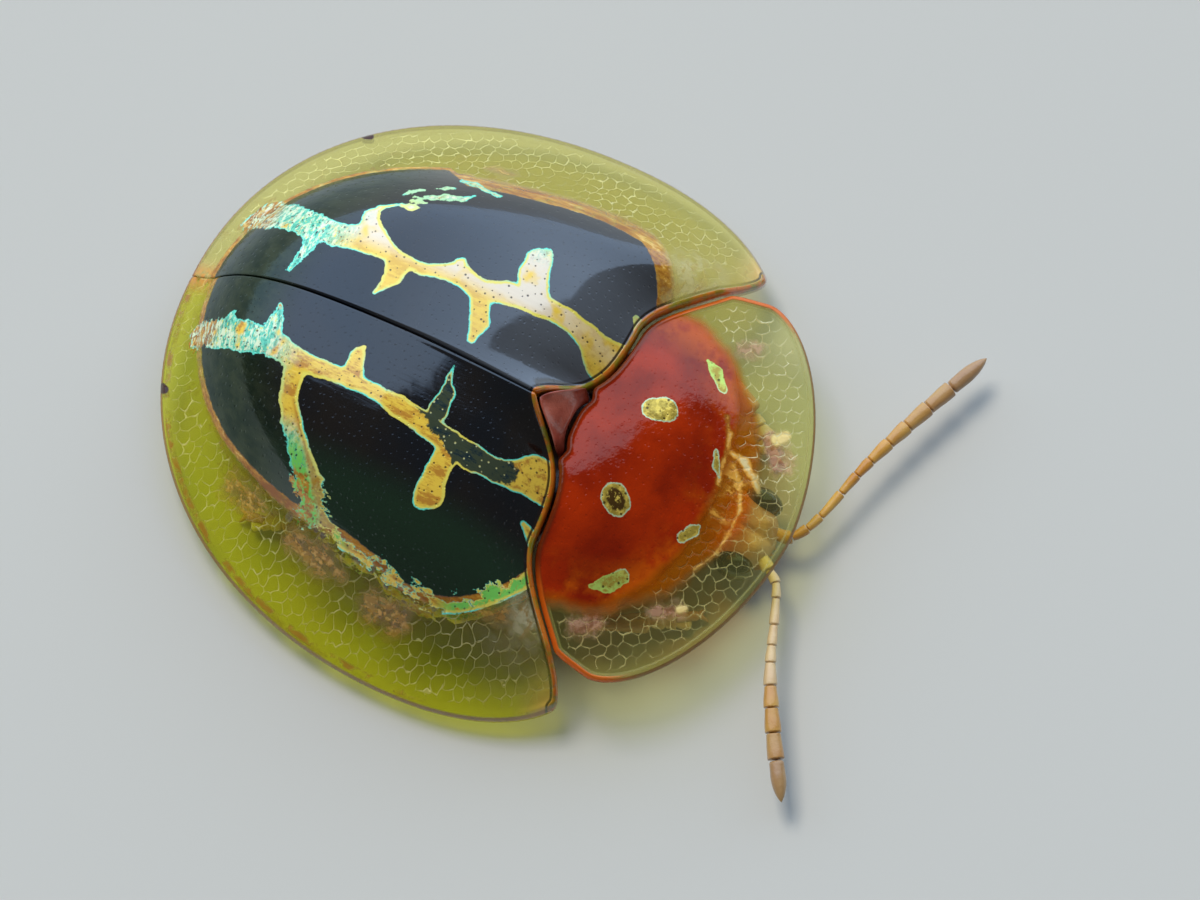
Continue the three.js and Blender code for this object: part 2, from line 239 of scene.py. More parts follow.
# Small helpers for wiring materials
class Value:  # a number or colour that shader nodes work out, joined to others with + - * /
    def __init__(self, socket):
        self.socket = socket
        self.tree = socket.id_data

    def __add__(self, other):
        return calc("ADD", self, other)

    def __radd__(self, other):
        return calc("ADD", other, self)

    def __sub__(self, other):
        return calc("SUBTRACT", self, other)

    def __rsub__(self, other):
        return calc("SUBTRACT", other, self)

    def __mul__(self, other):
        return calc("MULTIPLY", self, other)

    def __rmul__(self, other):
        return calc("MULTIPLY", other, self)

    def __truediv__(self, other):
        return calc("DIVIDE", self, other)

    def __rtruediv__(self, other):
        return calc("DIVIDE", other, self)

    def beside(self, name):  # another output of the same node
        return Value(self.socket.node.outputs[name])


def give(socket, value):
    if isinstance(value, Value):
        socket.id_data.links.new(value.socket, socket)
    else:
        socket.default_value = value


def node(tree, kind, inputs=None, output=0, **settings):
    made = tree.nodes.new("ShaderNode" + kind)
    for name, value in settings.items():
        setattr(made, name, value)
    for name, value in (inputs or {}).items():
        give(made.inputs[name], value)
    return Value(made.outputs[output])


def calc(operation, a, b):
    tree = a.tree if isinstance(a, Value) else b.tree
    return node(tree, "Math", {0: a, 1: b}, operation=operation)


def most(a, b):
    return calc("MAXIMUM", a, b)


def least(a, b):
    return calc("MINIMUM", a, b)


def vector(operation, a, b):
    output = "Value" if operation == "DOT_PRODUCT" else "Vector"
    return node(a.tree, "VectorMath", {0: a, 1: b}, output, operation=operation)


def scaled(place, times):
    return node(place.tree, "VectorMath", {0: place, "Scale": times}, operation="SCALE")


def ramp(value, low, high, toLow=0.0, toHigh=1.0):  # smooth step from one value to another
    if low > high:
        low, high, toLow, toHigh = high, low, toHigh, toLow
    inputs = {"Value": value, "From Min": low, "From Max": high, "To Min": toLow, "To Max": toHigh}
    return node(value.tree, "MapRange", inputs, interpolation_type="SMOOTHSTEP")


def colour(rgb):
    return (*rgb, 1.0) if isinstance(rgb, tuple) and len(rgb) == 3 else rgb


def blend(factor, a, b):
    return node(factor.tree, "Mix", {0: factor, 6: colour(a), 7: colour(b)}, 2, data_type="RGBA")


def blendNumber(factor, a, b):
    return node(factor.tree, "Mix", {0: factor, 2: a, 3: b})


def noise(place, scale, detail=3.0, rough=0.5):
    inputs = {"Vector": place, "Scale": scale, "Detail": detail, "Roughness": rough}
    return node(place.tree, "TexNoise", inputs)


def attribute(tree, name):
    return node(tree, "Attribute", output="Fac", attribute_name=name)


def place(tree):  # Object coordinates in millimetres
    return scaled(node(tree, "TexCoord", output="Object"), 1 / mm)


def stretched(at, x, y, z):
    return node(at.tree, "Mapping", {"Vector": at, "Scale": (x, y, z)})


def material(name):
    made = bpy.data.materials.new(name)
    made.use_nodes = True
    return made, made.node_tree, made.node_tree.nodes["Principled BSDF"]


def wire(shader, **sockets):
    for name, value in sockets.items():
        give(shader.inputs[name.replace("_", " ")], value)


def seeThrough(shader, share, tint):  # a clear tinted body with a share of it clouded
    clear = node(share.tree, "BsdfTransparent", {"Color": colour(tint)})
    both = node(share.tree, "MixShader", {0: share, 1: clear, 2: Value(shader.outputs[0])})
    give(share.tree.nodes["Material Output"].inputs["Surface"], both)


def relief(height, depth):
    return node(height.tree, "Bump", {"Height": height, "Distance": depth * mm, "Strength": 1.0})


def group(name, inputs, outputs):
    tree = bpy.data.node_groups.new(name, "ShaderNodeTree")
    for title, kind, value in inputs:
        socket = tree.interface.new_socket(title, in_out="INPUT", socket_type="NodeSocket" + kind)
        if value is not None:
            socket.default_value = value
    for title in outputs:
        tree.interface.new_socket(title, in_out="OUTPUT", socket_type="NodeSocketFloat")
    given = {output.name: Value(output) for output in tree.nodes.new("NodeGroupInput").outputs}
    return tree, given, tree.nodes.new("NodeGroupOutput").inputs


def use(kind, **inputs):
    made = inputs["Place"].tree.nodes.new("ShaderNodeGroup")
    made.node_tree = bpy.data.node_groups[kind]
    for name, value in inputs.items():
        give(made.inputs[name], value)
    return {output.name: Value(output) for output in made.outputs}


# The clear rims' cells: where their thin walls catch the light, and how thick the walls are
comb = {"glint": (-0.63, -0.78, 0.0), "swirl": 0.75, "push": 4.0, "row": 3 ** 0.5, "wall": (0.476, 0.492),
        "ringOuter": (0.488, 0.466), "ringInner": (0.428, 0.452), "arcSide": (0.1, 0.85),
        "thinness": (-0.012, 0.008), "pillow": (0.5, 0.34)}


def addHoneycomb():  # six-sided cells pushed about by noise, each with a painted highlight, a bright crescent on one side toward a fixed glint direction
    tree, given, out = group("honeycomb", [("Place", "Vector", None), ("Cell", "Float", 0.17),
                                           ("Warp", "Float", 0.4)], ["Wall", "Arc", "Height"])
    flat = vector("MULTIPLY", given["Place"], (1, 1, 0))
    cells = scaled(flat, 1.0 / given["Cell"])
    swirl = node(tree, "TexNoise", {"Vector": cells, "Scale": comb["swirl"], "Detail": 1.0}, "Color")
    push = scaled(vector("SUBTRACT", swirl, (0.5, 0.5, 0.5)), given["Warp"] * comb["push"])
    at = vector("MULTIPLY", vector("ADD", cells, push), (1, 1, 0))
    step = (1.0, comb["row"], 1.0)
    half = (0.5, comb["row"] / 2, 0.0)

    def offset(shift):
        moved = vector("ADD", at, shift)
        wrapped = node(tree, "VectorMath", {0: moved, 1: step, 2: (0, 0, 0)}, operation="WRAP")
        return vector("SUBTRACT", wrapped, half)

    first = offset((0, 0, 0))
    second = offset(half)
    nearer = calc("LESS_THAN", vector("DOT_PRODUCT", first, first), vector("DOT_PRODUCT", second, second))
    chosen = node(tree, "Mix", {0: nearer, 4: second, 5: first}, 1, data_type="VECTOR")
    bold = node(tree, "VectorMath", {0: chosen}, operation="ABSOLUTE")
    reach = most(vector("DOT_PRODUCT", bold, half), node(tree, "SeparateXYZ", {0: bold}))
    length = node(tree, "VectorMath", {0: chosen}, "Value", operation="LENGTH")
    side = vector("DOT_PRODUCT", chosen, comb["glint"]) / most(length, 0.01)
    thin = ramp(noise(cells, 0.9, 2.0), 0.35, 0.65, *comb["thinness"])
    give(out["Wall"], ramp(reach - thin, *comb["wall"]))
    ring = ramp(reach, *comb["ringInner"]) * ramp(reach, *comb["ringOuter"])
    give(out["Arc"], ring * ramp(side, *comb["arcSide"]))
    give(out["Height"], ramp(reach, *comb["pillow"]))


def addPunctures():  # scattered fine pits
    tree, given, out = group("punctures", [("Place", "Vector", None), ("Spacing", "Float", 0.14),
                                           ("Radius", "Float", 0.014)], ["Dot"])
    flat = vector("MULTIPLY", given["Place"], (1, 1, 0))
    inputs = {"Vector": flat, "Scale": 1.0 / given["Spacing"], "Randomness": 0.85}
    cell = node(tree, "TexVoronoi", inputs, "Distance", voronoi_dimensions="2D")
    tone = node(tree, "SeparateXYZ", {0: cell.beside("Color")})
    inside = given["Radius"] * (tone + 0.5) - cell * given["Spacing"]
    give(out["Dot"], ramp(inside, -0.004, 0.006))


def addGrain():  # slow clouds and fine grain for a horny surface
    inputs = [("Place", "Vector", None), ("Size", "Float", 1.0)]
    tree, given, out = group("grain", inputs, ["Cloud", "Fine"])
    scale = 1.0 / given["Size"]
    give(out["Cloud"], ramp(noise(given["Place"], scale, 4.0), 0.32, 0.68))
    give(out["Fine"], noise(given["Place"], scale * 22.0, 2.0))


addHoneycomb()
addPunctures()
addGrain()


# Small helpers for making pieces
def cornersOf(mesh):
    at = np.empty(len(mesh.vertices) * 3)
    mesh.vertices.foreach_get("co", at)
    return at.reshape(-1, 3)


def setCorners(mesh, s, t, z):
    at = np.stack([t, yShift - s, z], 1) * mm
    mesh.vertices.foreach_set("co", at.ravel())
    mesh.update()


def setAttribute(mesh, name, values):
    made = mesh.attributes.new(name, "FLOAT", "POINT")
    made.data.foreach_set("value", np.asarray(values, np.float32))


def finishPiece(name, mesh, kind, nodes):
    bm = bmesh.new()
    bm.from_mesh(mesh)
    bmesh.ops.recalc_face_normals(bm, faces=bm.faces)
    bm.to_mesh(mesh)
    bm.free()
    mesh.polygons.foreach_set("use_smooth", [True] * len(mesh.polygons))
    mesh.materials.append(kind)
    made = bpy.data.objects.new(name, mesh)
    scene.collection.objects.link(made)
    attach(made, "root")
    if nodes:
        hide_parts(*nodes)
    return made


def sheetMesh(name, along, across):  # a divided slab with u, v and w each from 0 to 1
    bm = bmesh.new()
    bmesh.ops.create_grid(bm, x_segments=along, y_segments=across, size=0.5)
    made = bmesh.ops.extrude_face_region(bm, geom=bm.faces[:])
    lifted = [v for v in made["geom"] if isinstance(v, bmesh.types.BMVert)]
    bmesh.ops.translate(bm, verts=lifted, vec=(0, 0, 1))
    mesh = bpy.data.meshes.new(name)
    bm.to_mesh(mesh)
    bm.free()
    at = cornersOf(mesh)
    return mesh, at[:, 0] + 0.5, at[:, 1] + 0.5, at[:, 2]


def rounded(gap, radius):  # how far a face drops near an edge to round it off
    inside = np.clip(radius - gap, 0, radius)
    return radius - np.sqrt(np.maximum(radius ** 2 - inside ** 2, 0))


def gapTo(s, t, edgeS, edgeT):  # distance in plan to the nearest point of an edge
    edge = KDTree(len(edgeS))
    for i, at in enumerate(zip(edgeS, edgeT)):
        edge.insert((float(at[0]), float(at[1]), 0), i)
    edge.balance()
    return np.array([edge.find((a, b, 0))[2] for a, b in zip(s, t)])


def strokeField(s, t, strokes, join=0.05):  # millimetres inside a shape drawn with tapering strokes
    far = None
    for points in strokes.values():
        for (s0, t0, r0), (s1, t1, r1) in zip(points[:-1], points[1:]):
            ds, dt = s1 - s0, t1 - t0
            k = np.clip(((s - s0) * ds + (t - t0) * dt) / (ds * ds + dt * dt), 0, 1)
            now = np.hypot(s - s0 - k * ds, t - t0 - k * dt) - mix(r0, r1, k)
            if far is None:
                far = now
                continue
            k = np.clip(0.5 + 0.5 * (far - now) / join, 0, 1)
            far = mix(far, now, k) - join * k * (1 - k)
    return -far


# Elytra: the gold band on each, as strokes of (s, t, half width)
bandLeft = {
    "band": [(-5.66, 0.92, 0.24), (-5.3, 0.88, 0.2), (-4.9, 0.79, 0.17), (-4.55, 0.75, 0.15),
             (-4.15, 0.84, 0.19), (-3.8, 0.74, 0.09), (-3.45, 0.73, 0.07), (-3.05, 0.86, 0.13),
             (-2.75, 0.78, 0.13), (-2.45, 0.9, 0.14), (-2.1, 0.95, 0.14), (-1.75, 0.97, 0.12),
             (-1.45, 0.92, 0.15), (-1.2, 0.82, 0.25), (-0.95, 0.95, 0.2)],
    "rearSpike": [(-4.8, 0.7, 0.14), (-4.78, 0.5, 0.07), (-4.86, 0.15, 0.02)],
    "middleSpike": [(-3.72, 0.66, 0.15), (-3.71, 0.5, 0.1), (-3.81, 0.25, 0.02)],
    "frontSpike": [(-2.68, 0.65, 0.12), (-2.59, 0.44, 0.11), (-2.58, 0.22, 0.055)],
    "rearBranch": [(-4.2, 0.9, 0.17), (-4.29, 1.13, 0.09), (-4.25, 1.28, 0.03), (-4.05, 1.42, 0.015)],
    "streakDrop": [(-4.02, 1.4, 0.025), (-3.93, 1.42, 0.045), (-3.84, 1.45, 0.015)],
    "streakFoot": [(-3.98, 1.51, 0.014), (-3.88, 1.54, 0.02), (-3.79, 1.55, 0.012)],
    "streakInner": [(-3.97, 1.58, 0.015), (-3.77, 1.65, 0.035), (-3.62, 1.74, 0.045), (-3.45, 1.8, 0.03),
                    (-3.37, 1.9, 0.015)],
    "streakOuter": [(-4.1, 1.55, 0.015), (-4.05, 1.64, 0.025), (-3.92, 1.73, 0.015)],
    "streakUpper": [(-3.82, 1.8, 0.012), (-3.7, 1.87, 0.025), (-3.6, 1.92, 0.012)],
    "streakTail": [(-3.61, 2.07, 0.025), (-3.45, 2.09, 0.035), (-3.28, 2.05, 0.02), (-3.12, 2.04, 0.03)],
    "swelling": [(-3.08, 0.86, 0.13), (-3.09, 0.98, 0.06), (-3.08, 1.03, 0.03)],
    "frontBranch": [(-2.2, 1.02, 0.19), (-2.3, 1.25, 0.17), (-2.32, 1.45, 0.15), (-2.28, 1.56, 0.07)],
    "shoulderFleck": [(-1.12, 1.47, 0.04), (-0.98, 1.36, 0.1), (-0.85, 1.4, 0.06)],
}
bandRight = {
    "band": [(-5.55, 0.72, 0.16), (-5.0, 0.7, 0.17), (-4.56, 0.72, 0.13), (-4.3, 0.8, 0.13),
             (-4.0, 0.79, 0.1), (-3.6, 0.78, 0.1), (-3.3, 0.8, 0.08), (-3.0, 0.84, 0.12),
             (-2.6, 0.9, 0.13), (-2.3, 0.96, 0.14), (-2.0, 0.99, 0.15), (-1.7, 0.98, 0.13),
             (-1.5, 0.91, 0.16), (-1.28, 0.78, 0.25), (-1.05, 0.82, 0.2)],
    "rearSpike": [(-5.3, 0.64, 0.12), (-5.27, 0.45, 0.02)],
    "secondSpike": [(-4.72, 0.6, 0.15), (-4.72, 0.42, 0.07), (-4.76, 0.26, 0.02)],
    "middleSpike": [(-3.63, 0.68, 0.13), (-3.66, 0.5, 0.08), (-3.64, 0.39, 0.03)],
    "frontSpike": [(-2.56, 0.7, 0.12), (-2.55, 0.46, 0.08), (-2.61, 0.3, 0.025), (-2.62, 0.15, 0.012)],
    "rearBranch": [(-4.25, 0.95, 0.13), (-4.2, 1.2, 0.1), (-4.05, 1.42, 0.11), (-3.88, 1.62, 0.11),
                   (-3.7, 1.85, 0.15), (-3.5, 2.05, 0.17), (-3.4, 2.2, 0.12)],
    "frontBranch": [(-2.27, 1.15, 0.14), (-2.28, 1.35, 0.13), (-2.26, 1.55, 0.17), (-2.31, 1.65, 0.1)],
    "edgeStrip": [(-3.3, 2.2, 0.08), (-2.9, 2.35, 0.05), (-2.3, 2.46, 0.05), (-1.8, 2.53, 0.05),
                  (-1.4, 2.4, 0.09), (-1.15, 2.22, 0.15), (-0.95, 1.95, 0.12), (-0.9, 1.7, 0.05)],
    "shoulderFleck": [(-1.2, 1.3, 0.04), (-1.0, 1.4, 0.09), (-0.88, 1.5, 0.05)],
}
# Where the right band mirrors a dark part of the room
darkReflectionStroke = {"middle": [(-2.95, 0.7, 0.03), (-2.68, 0.66, 0.12), (-2.45, 0.76, 0.17), (-2.2, 0.88, 0.16),
                         (-2.05, 1.0, 0.17), (-1.85, 0.98, 0.19), (-1.62, 0.93, 0.15)],
              "spike": [(-2.55, 0.6, 0.14), (-2.6, 0.1, 0.06)]}
# Brown shapes seen in the right margin, feet of the legs below and old scars, and a few dark specks
blobsRight = {"middleFoot": [(-2.45, 2.76, 0.14), (-2.1, 2.78, 0.15), (-1.95, 2.62, 0.04)],
              "hindFoot": [(-3.55, 2.46, 0.1), (-3.15, 2.54, 0.15), (-2.85, 2.6, 0.06)],
              "hindScar": [(-4.5, 2.16, 0.1), (-4.2, 2.24, 0.13), (-4.0, 2.3, 0.05)],
              "frontScar": [(-1.35, 2.42, 0.04), (-0.98, 2.3, 0.07)]}
blobsLeft = {"rearScar": [(-3.45, 2.46, 0.05), (-3.2, 2.5, 0.08)]}
specks = {"Left": [(-5.02, 2.38, 0.035), (-4.96, 2.41, 0.045)],
          "Right": [(-5.8, 1.33, 0.045), (-5.74, 1.36, 0.05)]}
# How far inside the edge of the disc the black ends, along the shell
blackInset = {"Left": ((-3.85, -3.52, -2.6, -1.9), (0.0, 0.28, 0.27, 0.2)),
              "Right": ((-4.8, -3.6, -3.0, -2.5, -2.1, -1.8), (0.05, 0.12, 0.19, 0.17, 0.06, 0.03))}
# The middle line of the right rear branch, rusty ahead of it and teal behind
branchLine = ((0.95, 1.2, 1.42, 1.62, 1.85, 2.05, 2.2), (-4.25, -4.2, -4.05, -3.88, -3.7, -3.53, -3.4))
elytron = {"along": 280, "across": 165, "seam": 0.008, "first": -6.05, "rearAngle": 0.2, "cornerCut": 0.1,
           "discDepth": 0.3, "rimDepth": 0.12, "clear": 0.12, "round": 0.055, "baseRound": 0.03,
           "seamRound": 0.018, "seamBead": 0.009, "bead": 0.018, "cornerAt": (-1.95, 1.45),
           "cornerRadius": 1.0}


def elytronPlace(u, v):
    seam = elytron["seam"]
    last = frontEdge(seam)
    cornerS, cornerT = rimPoint(radians(rim["shoulderAngle"]))
    outS, outT = rimPoint(np.radians(mix(elytron["rearAngle"], rim["shoulderAngle"], u)))
    s = mix(mix(elytron["first"], last, u), outS, v)
    t = mix(seam, outT, v)
    s = s + (frontEdge(mix(seam, cornerT, v)) - mix(last, cornerS, v)) * u ** 6
    cut = elytron["cornerCut"] * (u * v) ** 14
    return s - cut, t - cut


def blackField(name, s, t):  # millimetres inside the black disc
    share, angle = ovalShare(s, t)
    inset = np.interp(s, *blackInset[name])
    flank = (discEdge(angle) - share) * rim["halfWidth"] - inset
    centreS, centreT = elytron["cornerAt"]
    corner = elytron["cornerRadius"] - np.hypot(np.maximum(s - centreS, 0), np.maximum(t - centreT, 0))
    return np.minimum(flank, corner)


def addElytron(name, side, kind):
    mesh, u, v, w = sheetMesh("elytron" + name, elytron["along"], elytron["across"])
    s, t = elytronPlace(u, v)
    edge = np.linspace(0, 1, 1600)
    rimGap = gapTo(s, t, *elytronPlace(edge, 1 + 0 * edge))
    baseGap = gapTo(s, t, *elytronPlace(1 + 0 * edge, edge))
    top = elytraTop(s, t)
    seamGap = t - elytron["seam"]
    depth = mix(elytron["rimDepth"], elytron["discDepth"], smooth(rimGap / 1.2)) * slopeOf(elytraTop, s, t)
    depth = np.minimum(depth, top - elytron["clear"])
    drop = rounded(rimGap, elytron["round"]) + rounded(baseGap, elytron["baseRound"])
    drop = drop + rounded(seamGap, elytron["seamRound"])
    lip = elytron["seamBead"] * bump(seamGap, 0.035, 0.014) * smooth((s + 3.6) / 0.8)
    bead = elytron["bead"] * (bump(rimGap, 0.05, 0.03) + bump(baseGap, 0.035, 0.02))
    z = np.where(w > 0.5, top - drop + bead + lip, top - depth + drop)
    setCorners(mesh, s, side * t, z)
    setAttribute(mesh, "black", blackField(name, s, t))
    setAttribute(mesh, "gold", strokeField(s, t, bandLeft if side > 0 else bandRight))
    setAttribute(mesh, "rimGap", rimGap)
    setAttribute(mesh, "baseGap", baseGap)
    rearward = smooth((-4.15 - s) / 0.6)
    outward = smooth((t - 1.3) / 0.35) * (0.6 if side > 0 else 1.0)
    lee = smooth((s - np.interp(t, *branchLine) - 0.02) / 0.08) * smooth((t - 0.95) / 0.15)
    lee = lee * (s < -3.1) * (side < 0)
    outward = outward * (1 if side > 0 else smooth((-3.0 - s) / 0.5))
    setAttribute(mesh, "teal", np.clip(rearward + outward, 0, 1) * (1 - 0.85 * lee))
    setAttribute(mesh, "lee", lee)
    setAttribute(mesh, "blob", strokeField(s, t, blobsRight if side < 0 else blobsLeft, 0.05))
    setAttribute(mesh, "speck", strokeField(s, t, {"speck": specks[name]}))
    # The right side, away from the sky; the left side's margin is painted paler, as painted light
    setAttribute(mesh, "awayFromSky", (side < 0) + 0 * s)
    if side > 0:
        trim = 0.07 + 0.2 * smooth((s + 3.75) / 0.2)
    else:
        trim = mix(0.07, 0.12, smooth((s + 4.4) / 0.6))
    setAttribute(mesh, "trim", trim)
    green = smooth((t - 1.45) / 0.3) * (side < 0) * smooth((np.abs(s + 2.3) - 0.5) / 0.3)
    setAttribute(mesh, "green", green * (1 - 0.85 * lee))
    # Painted sheen: the left band is painted pale cream, more so outward and toward the rear
    pale = smooth((t - 0.68) / 0.25) * (side > 0) * mix(0.45, 1.0, smooth((-1.4 - s) / 0.7))
    setAttribute(mesh, "pale", pale)
    # Painted reflection: where the right band is painted dark as it mirrors a dark part of the room
    darkReflection = strokeField(s, t, darkReflectionStroke, 0.1) if side < 0 else -1.0 + 0 * s
    setAttribute(mesh, "darkReflection", darkReflection)
    setAttribute(mesh, "shoulder", np.exp(-((s + 0.72) / 0.5) ** 2 - ((t - 2.2) / 0.6) ** 2))
    setAttribute(mesh, "tip", np.exp(-((s + 0.02) / 0.38) ** 2 - ((t - 2.95) / 0.5) ** 2))
    stain = smooth((-1.2 - s) / 0.8) * (0.3 if side > 0 else 1.0)
    setAttribute(mesh, "stain", stain)
    share = ovalShare(s, t)[0]
    setAttribute(mesh, "slope", smooth((share - 0.6) / 0.2) * smooth((-3.4 - s) / 1.0))
    setAttribute(mesh, "tail", np.exp(-(t / 0.2) ** 2) * smooth((-5.6 - s) / 0.2))
    frayed = smooth((t - 1.75) / 0.3) if side < 0 else 0.08 * smooth((t - 1.4) / 0.2)
    setAttribute(mesh, "broken", 0.45 * smooth((-5.2 - s) / 0.3) + frayed)
    # Painted sheen: the left elytron's black is painted bluish grey, strongest toward the front, standing
    # in for the sky's reflection
    setAttribute(mesh, "paintedSheen", (side > 0) * smooth((s + 4.0) / 2.8) * (1 - 0.6 * smooth((t - 1.5) / 0.6)))
    setAttribute(mesh, "bottle", (side < 0) * smooth((t - 1.35) / 0.5))
    setAttribute(mesh, "upper", w)
    return finishPiece("elytron" + name, mesh, kind, ["elytron_" + name.lower()])


# Painted light among these: the bluish sheen, the right band's dark reflection with its deep and pit tones,
# the cells' crescent highlights, the left band's pale cream, and the left margin's paler haze and tint
shell = {"black": (0.004, 0.005, 0.007), "blackWarm": (0.010, 0.007, 0.005),
         "blackGreen": (0.009, 0.026, 0.011), "slope": (0.045, 0.062, 0.028),
         "slopeDeep": (0.014, 0.030, 0.013), "paintedSheen": (0.095, 0.104, 0.116), "haze": (0.42, 0.44, 0.05),
         "hazePale": (0.66, 0.62, 0.22), "hazeWarm": (0.50, 0.40, 0.06), "wall": (0.90, 0.80, 0.22),
         "arc": (1.0, 0.90, 0.36), "amber": (0.36, 0.11, 0.008), "line": (0.66, 0.30, 0.03),
         "lineLight": (0.95, 0.62, 0.16), "rimLine": (0.30, 0.085, 0.006), "clear": (0.95, 0.84, 0.50),
         "knot": (0.70, 0.26, 0.03), "hole": (0.06, 0.018, 0.004), "foot": (0.55, 0.24, 0.03),
         "footDark": (0.20, 0.07, 0.01), "footLight": (0.95, 0.50, 0.12), "orange": (1.0, 0.50, 0.10),
         "mint": (0.15, 0.88, 0.66), "yellow": (1.0, 0.66, 0.07), "pale": (0.90, 0.76, 0.56),
         "lemon": (0.95, 0.80, 0.12), "foam": (0.84, 0.95, 0.62), "tealDeep": (0.04, 0.30, 0.22),
         "teal": (0.12, 0.66, 0.44), "green": (0.22, 0.72, 0.12), "rust": (0.58, 0.24, 0.03),
         "darkReflection": (0.05, 0.065, 0.035), "pit": (0.02, 0.012, 0.006), "tint": (0.94, 0.95, 0.34),
         "tintPale": (0.95, 0.92, 0.56), "tintClear": (0.95, 0.93, 0.78),
         "darkReflectionDeep": (0.012, 0.030, 0.035), "darkReflectionPit": (0.7, 0.65, 0.25), "hem": (0.62, 0.16, 0.01),
         "hemGreen": (0.26, 0.22, 0.01), "groove": (0.012, 0.006, 0.004), "sheen": (0.75, 0.87, 1.0)}


